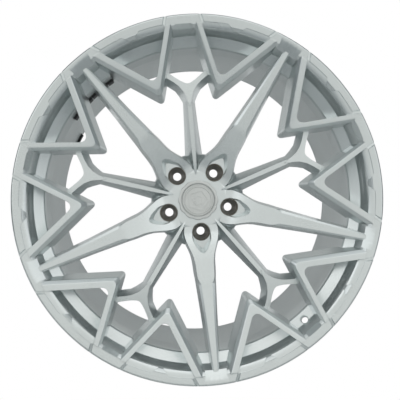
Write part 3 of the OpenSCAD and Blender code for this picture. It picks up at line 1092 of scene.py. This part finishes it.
def hollow(name: str, margin: float, start: float, sweep: float) -> bpy.types.Object:
    """Space inside the rim, grown into its wall by a margin, which trims what reaches the rim.

    Args:
        name: Name of the form.
        margin: How far it reaches into the wall.
        start: First angle.
        sweep: Angle swept.

    Returns:
        The closed form.
    """
    rim = RIM
    profile = [
        (5, rim.lip_z - 0.05), (rim.land_r + margin, rim.lip_z - 0.05),
        (rim.wall_r + margin, rim.wall_z), (rim.shoulder_r + margin, rim.shoulder_z),
        (rim.well_r + margin, rim.floor_z), (rim.well_r + margin, rim.well_end_z),
        (rim.rear_r + margin, rim.rear_seat_z), (5, rim.rear_seat_z),
    ]
    return Bench(name).turn(profile, max(int(sweep), 8), start, sweep).done()


@dataclass
class Chevrons:
    """The ten chevrons, two to each main spoke.

    Attributes:
        tip_r: Rounding of the tip on the hub side.
        inner_r: Rounding of the corner on the lip side.
        edge: Rounding of the faces' edges.
    """

    tip_r: float = 8.0
    inner_r: float = 12.0
    edge: float = 0.9

    def legs(self) -> bpy.types.Object:
        """Both legs of one chevron as one form, running on past the lip."""
        lines = CHEVRON
        main, side = lines.section(lines.main_w), lines.section(lines.side_w)
        far = 16.0
        first = []
        for off, depth in main:
            point = lines.main_start - lines.main_dir * far + lines.main_normal * off
            first.append(lines.on_face(point, depth))
        middle = [
            lines.on_face(lines.corner(m[0], s[0]), m[1]) for m, s in zip(main, side)
        ]
        last = []
        for off, depth in side:
            point = lines.side_start - lines.side_dir * far + lines.side_normal * off
            last.append(lines.on_face(point, depth))
        bench = Bench("chevron").loft([first, middle, last])
        wall = [(middle[i], middle[i + 1]) for i in (1, 2, 3)]
        inner = [(middle[0], middle[6]), (middle[6], middle[5])]

        def is_one(a: Vector, b: Vector, wanted: list[tuple[Vector, Vector]]) -> bool:
            """Whether an edge is one of the wanted ones."""
            return any(
                min((a - p).length + (b - q).length, (a - q).length + (b - p).length) < 1e-5
                for p, q in wanted
            )

        bench.round_edges(self.tip_r, 5, lambda a, b: is_one(a, b, wall))
        bench.round_edges(self.inner_r, 5, lambda a, b: is_one(a, b, inner))
        return bench.done()

    def build(self) -> None:
        """Builds one chevron and copies it around the wheel."""
        form = self.legs()
        ease(form, self.edge, 2, 25)
        combine(form, hollow("chevron_space", 0.8, -4.0, 44.0), Cut.KEEP)
        for i in range(ARMS):
            for mirrored in (True, False):
                number = (2 * i or 2 * ARMS) if mirrored else 2 * i + 1
                piece = turned_copy(
                    form, f"chevron_piece_{number}", MAIN_ANGLE + i * PITCH, mirrored
                )
                show(piece, "wheel", SILVER,
                     [f"chevron_main_leg_{number}", f"chevron_side_leg_{number}"], 25)
        drop(form)


def spoke_space(name: str, sweep: float) -> bpy.types.Object:
    """Space that trims a spoke's end inside the lip's wall, centred on the x axis.

    Args:
        name: Name of the form.
        sweep: Angle swept.

    Returns:
        The closed form.
    """
    profile = [
        (5, 150), (291, 150), (291, 101), (278, 98.5), (274.5, 79), (258, 66), (258, 30), (5, 1),
    ]
    return Bench(name).turn(profile, 60, -sweep / 2, sweep).done()


@dataclass
class MainSpokes:
    """The five straight spokes with side facets, which run up onto the lip's bridges.

    Attributes:
        stations: Distance, half width of the flat, half width of the body, height of the flat
            and of the back, from the lip to the hub.
        channel_at: Distance, half width and height of the channel in the back.
        facet_h: Drop of the side facets.
        draft: Growth of the half width from front to back.
        edge: Rounding of the edges.
    """

    stations: tuple[tuple[float, float, float, float, float], ...] = (
        (292.0, 2.2, 4.6, 106.7, 61.0),
        (279.0, 3.0, 5.5, 103.3, 57.5),
        (200.0, 6.3, 9.6, 82.4, 36.0),
        (143.0, 9.2, 13.6, 67.3, 21.0),
        (138.0, 11.6, 14.0, 65.8, 19.6),
        (134.0, 13.6, 14.6, 64.5, 18.5),
        (128.0, 14.6, 15.1, 62.4, 17.0),
        (108.0, 15.6, 16.3, 55.6, 10.0),
        (97.0, 17.6, 18.4, 51.8, 7.0),
        (88.0, 20.6, 21.5, 48.6, 5.0),
        (78.0, 24.4, 25.4, 45.0, 4.2),
        (70.0, 27.4, 28.4, 41.9, 4.0),
        (63.0, 29.2, 30.2, 38.9, 4.0),
        (57.0, 30.0, 31.2, 36.6, 4.0),
        (51.0, 29.6, 30.8, 34.9, 4.0),
        (45.0, 28.0, 29.2, 33.8, 4.0),
    )
    channel_at: tuple[tuple[float, float, float], ...] = (
        (96, 10.5, 14), (104, 10.5, 30), (150, 8.2, 42), (205, 5.2, 56), (216, 4.6, 50))
    facet_h: float = 2.2
    draft: float = 5.0
    edge: float = 0.8

    def ring(self, x: float, flat: float, side: float, z: float, back: float) -> list[Vector]:
        """One station as a closed outline."""
        low = side + self.draft
        half = [(flat, z), (side, z - self.facet_h), (mix(side, low, 0.45), mix(z, back, 0.5)),
                (low, back + 3.0), (low - 2.5, back)]
        points = [(x, -w, h) for w, h in reversed(half)] + [(x, w, h) for w, h in half]
        return [spot(*p) for p in points]

    def channel(self) -> bpy.types.Object:
        """Form that mills the channel into the spoke's back."""
        low = -20
        rings = []
        for x, w, high in self.channel_at:
            half = [(w, high - 4), (w - 3, high)]
            points = [(x, -w - 2, low)] + [(x, -a, b) for a, b in half]
            points += [(x, a, b) for a, b in reversed(half)] + [(x, w + 2, low)]
            rings.append([spot(*p) for p in points])
        return Bench("main_channel").loft(rings).done()

    def build(self, pocket: Callable[[str, float], bpy.types.Object]) -> None:
        """Builds one spoke and copies it around the wheel.

        Args:
            pocket: Makes the form of the lug pocket.
        """
        form = Bench("main_spoke").loft([self.ring(*s) for s in self.stations]).done()
        combine(form, self.channel(), Cut.AWAY)
        combine(form, pocket("spoke_pocket", 0.35), Cut.AWAY)
        ease(form, self.edge, 2, 22)
        combine(form, spoke_space("main_space", 120.0), Cut.KEEP)
        for i in range(ARMS):
            piece = turned_copy(form, f"main_spoke_piece_{i + 1}", MAIN_ANGLE + i * PITCH)
            show(piece, "wheel", SILVER, [f"main_spoke_{i + 1}"], 30)
        drop(form)


@dataclass
class SplitSpokes:
    """The five ridged spokes that fork into two curved arms.

    Attributes:
        stem: Distance, half width of the ridge, half width of the back, height of the ridge
            and of the back, from the fork to the hub.
        window: Edge of an arm's face on the side of the window.
        hubward: Edge of an arm's face on the side of the hub.
        behind: The same edge at the arm's back.
        backs: Heights of the arm's back.
        face_z: Height of the arm's face.
        edge: Rounding of the edges.
    """

    stem: tuple[tuple[float, float, float, float, float], ...] = (
        (192.0, 3.7, 10.0, 63.4, 24.0),
        (170.0, 3.7, 10.6, 60.6, 21.0),
        (121.0, 3.7, 13.0, 52.1, 12.0),
        (80.0, 3.3, 15.6, 44.4, 5.0),
        (66.0, 2.8, 12.4, 41.6, 4.0),
        (55.0, 2.1, 8.0, 38.8, 4.0),
        (48.0, 1.3, 5.0, 36.2, 4.0),
        (43.5, 0.5, 2.0, 33.4, 4.0),
    )
    window: tuple[Flat, ...] = (
        (198, -1.5), (198.6, 3), (200.5, 7), (204, 13), (210, 21), (218, 31), (228, 44))
    hubward: tuple[Flat, ...] = (
        (160, -1.5), (166, 2.6), (174, 4.4), (184, 8), (194, 15), (202, 24), (212, 38))
    behind: tuple[Flat, ...] = (
        (160, -1.5), (166, 8.4), (173.5, 10.4), (184.6, 16.2), (193.1, 22.3), (197.5, 30),
        (206, 43))
    backs: tuple[float, ...] = (24, 24, 25, 28, 33, 39, 45)
    face_z: float = 64.0
    edge: float = 0.8

    def ring(self, x: float, ridge: float, back_w: float, z: float, back: float) -> list[Vector]:
        """One station of the stem as a closed outline."""
        half = [(ridge, z), (mix(ridge, back_w, 0.3), mix(z, back, 0.22)),
                (back_w, mix(z, back, 0.82)), (back_w - 1.2, back)]
        points = [(x, -w, h) for w, h in reversed(half)] + [(x, w, h) for w, h in half]
        return [spot(*p) for p in points]

    def arm(self) -> bpy.types.Object:
        """One arm of the fork."""
        rings = []
        for win, hub, rear, back in zip(self.window, self.hubward, self.behind, self.backs):
            inner = (mix(hub[0], rear[0], 0.35), mix(hub[1], rear[1], 0.35))
            rings.append([
                spot(*win, self.face_z), spot(*hub, self.face_z),
                spot(*inner, mix(self.face_z, back, 0.25)),
                spot(*rear, mix(self.face_z, back, 0.85)),
                spot(*rear, back), spot(win[0] - 1.5, win[1], back),
            ])
        return Bench("fork_arm").loft(rings).done()

    def build(self) -> None:
        """Builds one spoke and copies it around the wheel."""
        form = Bench("split_spoke").loft([self.ring(*s) for s in self.stem]).done()
        arm = self.arm()
        other = turned_copy(arm, "fork_arm_other", 0.0, True)
        combine(form, arm, Cut.JOIN)
        combine(form, other, Cut.JOIN)
        ease(form, self.edge, 2, 28)
        for i in range(ARMS):
            angle = MAIN_ANGLE + HALF + i * PITCH
            piece = turned_copy(form, f"split_spoke_piece_{i + 1}", angle)
            show(piece, "wheel", SILVER, [f"split_spoke_{i + 1}"], 35)
        drop(form)


@dataclass
class Hub:
    """The hub disc with its bores and pockets.

    Attributes:
        front_r: Radius at the front.
        back_r: Radius at the mounting face.
        thick: Thickness at the cap.
        bore_r: Radius of the centre bore.
        bore_l: Its length.
        cap_r: Radius of the cap's bore.
        lug_x: Radius of the lug circle.
        seat_r: Radius of the seat inserts.
        sleeve_r: Radius of their rear end.
        pocket_tip: Distance of the lug pocket's point from the axis.
        pocket_levels: Growth of the pocket's plan and its height, from the front to the floor.
        pocket_side: Stations of the pocket's side: share of its tail, share of its radius, and
            how much of the growth goes along and across.
        relief_h: Depth of the pockets in the mounting face.
    """

    front_r: float = 80.0
    back_r: float = 84.5
    thick: float = 34.0
    bore_r: float = 33.3
    bore_l: float = 12.0
    cap_r: float = 30.0
    lug_x: float = 56.0
    seat_r: float = 15.5
    sleeve_r: float = 11.0
    pocket_tip: float = 91.0
    pocket_levels: tuple[Flat, ...] = (
        (7.6, 70.0), (4.6, 49.0), (3.4, 45.0), (3.0, 42.0), (0.2, 37.0), (-1.4, 33.6),
        (-2.4, 32.6))
    pocket_side: tuple[tuple[float, float, float, float], ...] = (
        (0.22, 0.97, 0.0, 0.15), (0.42, 0.84, 0.1, 0.35), (0.6, 0.62, 0.3, 0.45),
        (0.74, 0.4, 0.6, 0.45), (0.84, 0.2, 0.85, 0.3), (0.88, 0.06, 1.0, 0.1))
    relief_h: float = 12.0

    def teardrop(self, grow: float) -> list[Flat]:
        """Plan of the lug pocket, grown outwards by some millimetres."""
        radius = self.seat_r + 0.6 + 0.35 * grow
        tail = self.pocket_tip - self.lug_x
        side = [
            (self.lug_x + tail * along + lift * grow, radius * wide + side_lift * grow)
            for along, wide, lift, side_lift in self.pocket_side
        ]
        back = arc((self.lug_x, 0), radius, 76, 284, 16)
        return [(x, y) for x, y in reversed(side)] + back + [(x, -y) for x, y in side]

    def pocket(self, name: str, extra: float = 0.0) -> bpy.types.Object:
        """Form of the drafted pocket around a lug hole and of its bore.

        Args:
            name: Name of the form.
            extra: How much larger it is all round.

        Returns:
            The closed form.
        """
        rings = [
            [spot(x, y, z - extra) for x, y in self.teardrop(grow + extra)]
            for grow, z in self.pocket_levels
        ]
        form = Bench(name).loft(rings).done()
        return combine(form, self.bore(name + "_bore", extra), Cut.JOIN)

    def bore(self, name: str, extra: float = 0.0, flared: bool = False) -> bpy.types.Object:
        """Form of a lug hole's stepped bore.

        Args:
            name: Name of the form.
            extra: How much larger it is all round.
            flared: Whether its mouth widens into a countersink.

        Returns:
            The closed form.
        """
        levels = [
            (self.seat_r + extra, 40.0), (self.seat_r + extra, 10.0),
            (self.sleeve_r + extra, 9.9), (self.sleeve_r + extra, -2.0),
        ]
        if flared:
            levels[:1] = [
                (self.seat_r + 2.4, self.thick + 7.0), (self.seat_r + 1.0, self.thick + 0.4),
                (self.seat_r, self.thick - 0.6),
            ]
        rings = [[spot(*p, z) for p in arc((self.lug_x, 0), r, 0, 354, 59)] for r, z in levels]
        return Bench(name).loft(rings).done()

    def build(self) -> None:
        """Turns the disc, and cuts its lug bores and the pockets in its mounting face."""
        profile = soften([
            (self.bore_r + 1, 0, 0), (self.back_r - 1, 0, 0), (self.back_r, 1.2, 0),
            (self.front_r + 2, self.thick - 20, 2.0), (self.front_r - 6, self.thick - 12, 4.0),
            (62.0, self.thick - 3.5, 6.0), (49.0, self.thick, 6.0),
            (self.cap_r + 0.8, self.thick, 0), (self.cap_r, self.thick - 0.8, 0),
            (self.cap_r, self.bore_l, 0),
            (self.bore_r, self.bore_l, 0), (self.bore_r, 1, 0),
        ])
        hub = Bench("hub_piece").turn(profile, 180).done()
        for i in range(ARMS):
            angle = MAIN_ANGLE + i * PITCH
            form = self.bore("bore_form", flared=True)
            combine(hub, turned_copy(form, "bore_cut", angle), Cut.AWAY)
            drop(form)
            relief = self.back_relief()
            combine(hub, turned_copy(relief, "relief_cut", angle + HALF), Cut.AWAY)
            drop(relief)
        show(hub, "wheel", SILVER, ["hub"], 30)

    def back_relief(self) -> bpy.types.Object:
        """Form of the rounded pocket between two lug holes, in the mounting face."""
        outline = soften([
            (*polar(43, -9), 3.0), (*polar(43, 9), 3.0), (*polar(74, 13), 5.0), (*polar(77, 6), 0),
            (*polar(77.6, 0), 0), (*polar(77, -6), 0), (*polar(74, -13), 5.0),
        ])
        return Bench("back_relief").rise(outline, -2.0, self.relief_h).done()


@dataclass
class LugSeats:
    """The five steel seat inserts in the lug holes.

    Attributes:
        lug_x: Radius of the lug circle.
        bore_r: Radius of the bolt's hole.
        sleeve_r: Outer radius of the narrow rear end.
        outer_r: Outer radius of the wide front end.
        step_z: Height where the two ends meet.
        top_z: Height of the front rim.
        seat: Radii and heights of the inside, from the front rim down to the bolt's hole.
    """

    lug_x: float = 56.0
    bore_r: float = 7.5
    sleeve_r: float = 10.9
    outer_r: float = 15.4
    step_z: float = 10.0
    top_z: float = 32.0
    seat: tuple[Flat, ...] = (
        (14.0, 32.0), (13.5, 31.2), (13.0, 30.2), (12.6, 28.0), (12.2, 24.0), (11.4, 22.4),
        (10.9, 20.0), (9.9, 17.0), (8.9, 13.6), (8.2, 11.0))

    def build(self) -> None:
        """Turns one insert and copies it to each lug hole."""
        profile = [
            (self.bore_r, 0.4), (self.bore_r + 0.4, 0), (self.sleeve_r, 0),
            (self.sleeve_r, self.step_z), (self.outer_r, self.step_z),
            (self.outer_r, self.top_z - 0.6), (self.outer_r - 0.6, self.top_z),
            *self.seat, (self.bore_r, self.step_z),
        ]
        form = Bench("lug_seat").turn(profile, 72).done()
        for i in range(ARMS):
            piece = turned_copy(form, f"lug_seat_piece_{i + 1}", MAIN_ANGLE + i * PITCH)
            along = polar(self.lug_x, MAIN_ANGLE + i * PITCH)
            piece.data.transform(Matrix.Translation(spot(*along, 0)))
            show(piece, "wheel", SEAT_METAL, [f"lug_seat_{i + 1}"], 40)
        drop(form)


# ---------- the centre cap ----------


@dataclass
class CentreCap:
    """The push-in cap: plug with snap fingers, scalloped bezel, plate and spring ring.

    Attributes:
        face_z: Height of the hub's face under the bezel.
        plug_r: Radius of the plug.
        bezel_r: Largest radius of the bezel.
        plate_r: Radius of the plate.
        gap: Width of the dark line between the plate and the bezel.
        lobes: Number of scallops.
        scallop_h: Depth of the scallops.
        fingers: Number of snap fingers.
    """

    face_z: float = 34.0
    plug_r: float = 29.7
    bezel_r: float = 35.0
    plate_r: float = 28.5
    gap: float = 0.5
    lobes: int = 12
    scallop_h: float = 1.5
    fingers: int = 6

    def bezel(self) -> None:
        """The scalloped ring."""
        steps = 144
        z, mouth = self.face_z, self.plate_r
        rings = []
        levels = ((0.0, -0.9), (0.5, 0.0), (2.6, 0.0), (3.5, -0.7), (4.0, -2.0))
        for lift, grow in levels:
            ring = []
            for k in range(steps):
                angle = k * 360 / steps
                wave = 0.5 - 0.5 * math.cos(math.radians(angle * self.lobes))
                radius = self.bezel_r - self.scallop_h * wave**2 + grow
                ring.append(spot(*polar(radius, angle), z + lift))
            rings.append(ring)
        form = Bench("cap_bezel_piece").loft(rings).done()
        inner = [
            (1, z - 2), (mouth, z - 2), (mouth, z + 0.4), (mouth + self.gap, z + 0.5),
            (mouth + self.gap, z + 2.9), (mouth + 1.3, z + 3.6), (mouth + 1.8, z + 8), (1, z + 8),
        ]
        combine(form, Bench("bezel_bore").turn(inner, steps).done(), Cut.AWAY)
        show(form, "cap", CAP_SILVER, ["cap_bezel"], 30)

    def plate(self) -> None:
        """The plate, with ring lines and two plain raised pentagons."""
        z = self.face_z
        profile = [
            (0.0, z), (28.4, z), (28.4, z + 0.3), (27.9, z + 0.4), (27.9, z + 2.4),
            (27.4, z + 2.9), (25.6, z + 2.9), (25.2, z + 2.2), (24.6, z + 2.2), (24.2, z + 3.2),
            (22.8, z + 3.2), (22.2, z + 1.2), (0.0, z + 1.2),
        ]
        plate = Bench("cap_plate_piece").turn(profile, 120).done()
        band = Bench("pentagon_band").rise(self.pentagon(20.6, 0), z + 1.0, z + 2.9).done()
        opening = Bench("pentagon_opening").rise(self.pentagon(16.4, 0), z + 1.9, z + 3.5).done()
        combine(band, opening, Cut.AWAY)
        ease(band, 0.4, 2, 40)
        boss = Bench("pentagon_boss").rise(self.pentagon(10.4, 36), z + 1.5, z + 3.4).done()
        dimple = Bench("pentagon_dimple").rise(self.pentagon(6.8, 36), z + 2.7, z + 4.0).done()
        combine(boss, dimple, Cut.AWAY)
        ease(boss, 0.4, 2, 40)
        parts = [plate, band, boss]
        show(join("cap_plate_piece", parts), "cap", CAP_SILVER, ["cap_emblem"], 30)

    @staticmethod
    def pentagon(radius: float, start: float) -> list[Flat]:
        """Rounded pentagon.

        Args:
            radius: Distance of its corners from the middle.
            start: Angle of its first corner.

        Returns:
            The outline.
        """
        corners = [(*polar(radius, start + k * PITCH), 0.12 * radius) for k in range(ARMS)]
        return soften(corners, 4)

    def plug(self) -> None:
        """The plug's disc and its snap fingers."""
        z = self.face_z
        top = z - 0.05
        disc = [
            (0.0, z - 4), (28.9, z - 4), (self.plug_r, z - 3.2), (self.plug_r, top), (0.0, top),
        ]
        parts = [Bench("cap_plug_piece").turn(disc, 120).done()]
        finger = soften([
            (26.7, z - 19, 0.3), (28.3, z - 19, 0.5), (29.7, z - 17, 0.5), (28.7, z - 15, 0.3),
            (28.7, z - 3.6, 0), (26.7, z - 3.6, 0),
        ])
        pitch = 360 / self.fingers
        for k in range(self.fingers):
            parts.append(Bench(f"finger_{k}").turn(finger, 10, k * pitch + 5.0, 50.0).done())
        show(join("cap_plug_piece", parts), "cap", CAP_PLASTIC, ["cap_body"], 35)

    def spring(self) -> None:
        """The wire ring that spreads the fingers, with its gap."""
        circle = [(25.7 + a, self.face_z - 15 + b) for a, b in arc((0, 0), 0.9, 0, 330, 11)]
        wire = Bench("cap_spring_piece").turn(circle, 100, 12.0, 348.0).done()
        show(wire, "cap", SPRING, ["cap_spring_ring"], 40)

    def build(self) -> None:
        """Builds the cap's four pieces."""
        self.bezel()
        self.plate()
        self.plug()
        self.spring()


# ---------- balance weights ----------


@dataclass
class BalanceWeights:
    """Adhesive weights on their tape, one strip at the front and one weight at the rear.

    Attributes:
        front_end: Angle of the front strip's far end.
        front_l: Length of the front strip.
        rear_end: Angle of the rear weight's far end.
        rear_l: Length of the rear weight.
        count: Weights in the front strip.
        front_z: Height of the front tape's front edge.
        rear_z: Height of the rear tape's rear edge.
        front_r: Radius of the wall at the front strip.
        rear_r: Radius of the wall at the rear weight.
        tape_w: Width of both tapes.
        weight_w: Width of the weights.
        tape_t: Thickness of the tape.
        weight_t: Thickness of a weight.
    """

    front_end: float = 147.0
    front_l: float = 96.0
    rear_end: float = 156.0
    rear_l: float = 28.0
    count: int = 8
    front_z: float = 49.0
    rear_z: float = -137.0
    front_r: float = 256.0
    rear_r: float = 275.0
    tape_w: float = 15.0
    weight_w: float = 13.0
    tape_t: float = 0.8
    weight_t: float = 4.2

    @staticmethod
    def wall(z: float) -> float:
        """Radius of the barrel's inner wall at a height."""
        return mix(256.0, 276.0, max(0.0, (33.0 - z) / 175.0))

    def strip(
        self, name: str, end: float, span: float, high: float, low: float, t0: float, t1: float,
        edge: float,
    ) -> bpy.types.Object:
        """A curved bar on the wall.

        Args:
            name: Name of the piece.
            end: Angle of its far end.
            span: Angle that it covers.
            high: Height of its front edge.
            low: Height of its rear edge.
            t0: Distance of its underside from the wall.
            t1: Distance of its top from the wall.
            edge: Rounding of its edges.

        Returns:
            The bar.
        """
        profile = [
            (self.wall(high) - t0, high), (self.wall(high) - t1, high),
            (self.wall(low) - t1, low), (self.wall(low) - t0, low),
        ]
        form = Bench(name).turn(profile, max(4, int(span)), end - span, span).done()
        if edge:
            ease(form, edge, 2, 40)
        return form

    def build(self) -> None:
        """Builds both tapes and both weights."""
        front_mm, rear_mm = (math.degrees(1 / radius) for radius in (self.front_r, self.rear_r))
        high, low, top = self.front_z, self.rear_z, self.tape_t + self.weight_t
        tape = self.strip(
            "front_tape_piece", self.front_end, (self.front_l + 2) * front_mm, high,
            high - self.tape_w, 0.05, self.tape_t, 0)
        show(tape, "wheel", TAPE, ["front_balance_tape"])
        pitch = self.front_l / self.count * front_mm
        parts = []
        for k in range(self.count):
            end = self.front_end - 0.2 - k * pitch
            parts.append(self.strip(
                f"weight_{k}", end, pitch - 0.2, high - 1, high - 1 - self.weight_w, self.tape_t,
                top, 0.7))
        show(join("front_weights_piece", parts), "wheel", WEIGHT_BLACK, ["front_balance_weights"])
        tape = self.strip(
            "rear_tape_piece", self.rear_end, (self.rear_l + 2) * rear_mm, low + self.tape_w,
            low, 0.05, self.tape_t, 0)
        show(tape, "wheel", TAPE, ["rear_balance_tape"])
        weight = self.strip(
            "rear_weight_piece", self.rear_end - 0.2, self.rear_l * rear_mm, low + self.weight_w,
            low, self.tape_t, top, 0.8)
        show(weight, "wheel", WEIGHT_BLACK, ["rear_balance_weight"])


# ---------- studio ----------


@dataclass
class Studio:
    """Pale floor that sweeps up into a pale wall, soft lights and the camera.

    Attributes:
        lens: Focal length in millimetres, on a 36 mm sensor.
        eye: Place of the camera.
        aim: Place that it looks at.
        floor_z: Height of the floor, just under the wheel.
        floor_w: Side of the floor before it sweeps up.
        lamps: Name, place, side and power of each light.
        tones: Stops of the surroundings, from in front of the wheel to behind it.
    """

    lens: float = 42.0
    eye: tuple[float, float, float] = (-0.030, -0.853, 0.0)
    aim: tuple[float, float, float] = (0.0, -0.112, 0.0)
    floor_z: float = -0.2985
    floor_w: float = 3.2
    lamps: tuple[tuple[str, tuple[float, float, float], float, float], ...] = (
        ("top_light", (0.2, -1.2, 2.2), 2.6, 9.0), ("left_light", (-1.9, -1.5, 0.8), 1.6, 6.0),
        ("right_light", (1.8, -1.6, 0.4), 1.6, 4.0))
    tones: tuple[tuple[float, tuple[float, float, float]], ...] = (
        (0.0, (0.84, 0.85, 0.83)), (0.16, (0.72, 0.73, 0.715)), (0.28, (0.34, 0.37, 0.38)),
        (0.42, (0.04, 0.058, 0.068)), (0.75, (0.08, 0.09, 0.095)), (1.0, (0.9, 0.92, 0.92)))

    def sweep(self) -> None:
        """The floor and the wall behind it as one curved sheet."""
        deselect()
        bpy.ops.mesh.primitive_plane_add(size=self.floor_w, location=(0, 1.0, self.floor_z))
        floor = bpy.context.active_object
        floor.name = "studio_floor"
        bpy.ops.object.mode_set(mode="EDIT")
        bpy.ops.mesh.select_mode(type="EDGE")
        bpy.ops.mesh.select_all(action="DESELECT")
        mesh = bmesh.from_edit_mesh(floor.data)
        for edge in mesh.edges:
            if all(v.co.y > 1.5 for v in edge.verts):
                edge.select_set(True)
        bmesh.update_edit_mesh(floor.data)
        for lift in (0.05, 0.15, 0.3, 0.5, 3.0):
            bpy.ops.mesh.extrude_region_move(
                TRANSFORM_OT_translate={"value": (0, 0.6 - lift * 0.18, lift)})
        bpy.ops.mesh.select_mode(type="VERT")
        bpy.ops.object.mode_set(mode="OBJECT")
        smooth(floor, 60)
        material = bpy.data.materials.new("studio_white")
        material.use_nodes = True
        tree = material.node_tree
        tree.nodes.clear()
        out = tree.nodes.new("ShaderNodeOutputMaterial")
        glow = tree.nodes.new("ShaderNodeEmission")
        glow.inputs["Color"].default_value = (1.0, 1.0, 1.0, 1)
        glow.inputs["Strength"].default_value = 1.0
        matt = tree.nodes.new("ShaderNodeBsdfDiffuse")
        matt.inputs["Color"].default_value = (0.85, 0.86, 0.86, 1)
        seen = tree.nodes.new("ShaderNodeLightPath")
        blend = tree.nodes.new("ShaderNodeMixShader")
        tree.links.new(seen.outputs["Is Camera Ray"], blend.inputs["Fac"])
        tree.links.new(matt.outputs["BSDF"], blend.inputs[1])
        tree.links.new(glow.outputs["Emission"], blend.inputs[2])
        tree.links.new(blend.outputs["Shader"], out.inputs["Surface"])
        floor.data.materials.append(material)

    def lamp(
        self, name: str, place: tuple[float, float, float], size: float, power: float
    ) -> None:
        """One soft square light aimed at the wheel.

        Args:
            name: Name of the light.
            place: Where it stands.
            size: Length of its side.
            power: Its power in watts.
        """
        deselect()
        bpy.ops.object.light_add(type="AREA", location=place)
        light = bpy.context.active_object
        light.name = name
        light.data.size = size
        light.data.energy = power
        to_wheel = Vector(self.aim) - Vector(place)
        light.rotation_euler = to_wheel.to_track_quat("-Z", "Y").to_euler()

    def air(self) -> None:
        """Surroundings: bright in front, dark at the sides and bright again far behind."""
        world = bpy.data.worlds.new("studio_air")
        world.use_nodes = True
        tree = world.node_tree
        back = tree.nodes["Background"]
        place = tree.nodes.new("ShaderNodeTexCoord")
        split = tree.nodes.new("ShaderNodeSeparateXYZ")
        tree.links.new(place.outputs["Generated"], split.inputs["Vector"])
        lift = tree.nodes.new("ShaderNodeMath")
        lift.operation = "MULTIPLY_ADD"
        lift.inputs[1].default_value = -0.4
        tree.links.new(split.outputs["Z"], lift.inputs[0])
        tree.links.new(split.outputs["Y"], lift.inputs[2])
        depth = tree.nodes.new("ShaderNodeMapRange")
        depth.inputs["From Min"].default_value = -1.2
        depth.inputs["From Max"].default_value = 1.0
        tree.links.new(lift.outputs["Value"], depth.inputs["Value"])
        tones = tree.nodes.new("ShaderNodeValToRGB")
        stops = tones.color_ramp.elements
        for _ in self.tones[2:]:
            stops.new(0.5)
        for stop, (share, tone) in zip(stops, self.tones):
            stop.position = share
            stop.color = (*tone, 1)
        tree.links.new(depth.outputs["Result"], tones.inputs["Fac"])
        seen = tree.nodes.new("ShaderNodeLightPath")
        blend = tree.nodes.new("ShaderNodeMix")
        blend.data_type = "RGBA"
        tree.links.new(seen.outputs["Is Camera Ray"], blend.inputs["Factor"])
        tree.links.new(tones.outputs["Color"], blend.inputs[6])
        blend.inputs[7].default_value = (1, 1, 1, 1)
        tree.links.new(blend.outputs[2], back.inputs["Color"])
        back.inputs["Strength"].default_value = 1.0
        bpy.context.scene.world = world

    def build(self) -> None:
        """Sets up the floor, the lights, the surroundings and the camera."""
        self.sweep()
        for name, place, size, power in self.lamps:
            self.lamp(name, place, size, power)
        self.air()
        bpy.context.scene.view_settings.view_transform = "Standard"
        deselect()
        bpy.ops.object.camera_add(location=self.eye)
        camera = bpy.context.active_object
        camera.name = "view_camera"
        camera.data.lens = self.lens
        camera.data.sensor_width = 36.0
        camera.data.clip_start = 0.01
        look = Vector(self.aim) - Vector(self.eye)
        camera.rotation_euler = look.to_track_quat("-Z", "Y").to_euler()
        bpy.context.scene.camera = camera


def main() -> None:
    """Builds the wheel's pieces in order, then the studio."""
    hub = Hub()
    OuterLip().build()
    Barrel().build()
    Chevrons().build()
    MainSpokes().build(hub.pocket)
    SplitSpokes().build()
    hub.build()
    LugSeats().build()
    CentreCap().build()
    BalanceWeights().build()
    Studio().build()
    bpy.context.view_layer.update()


if __name__ == "__main__":
    main()
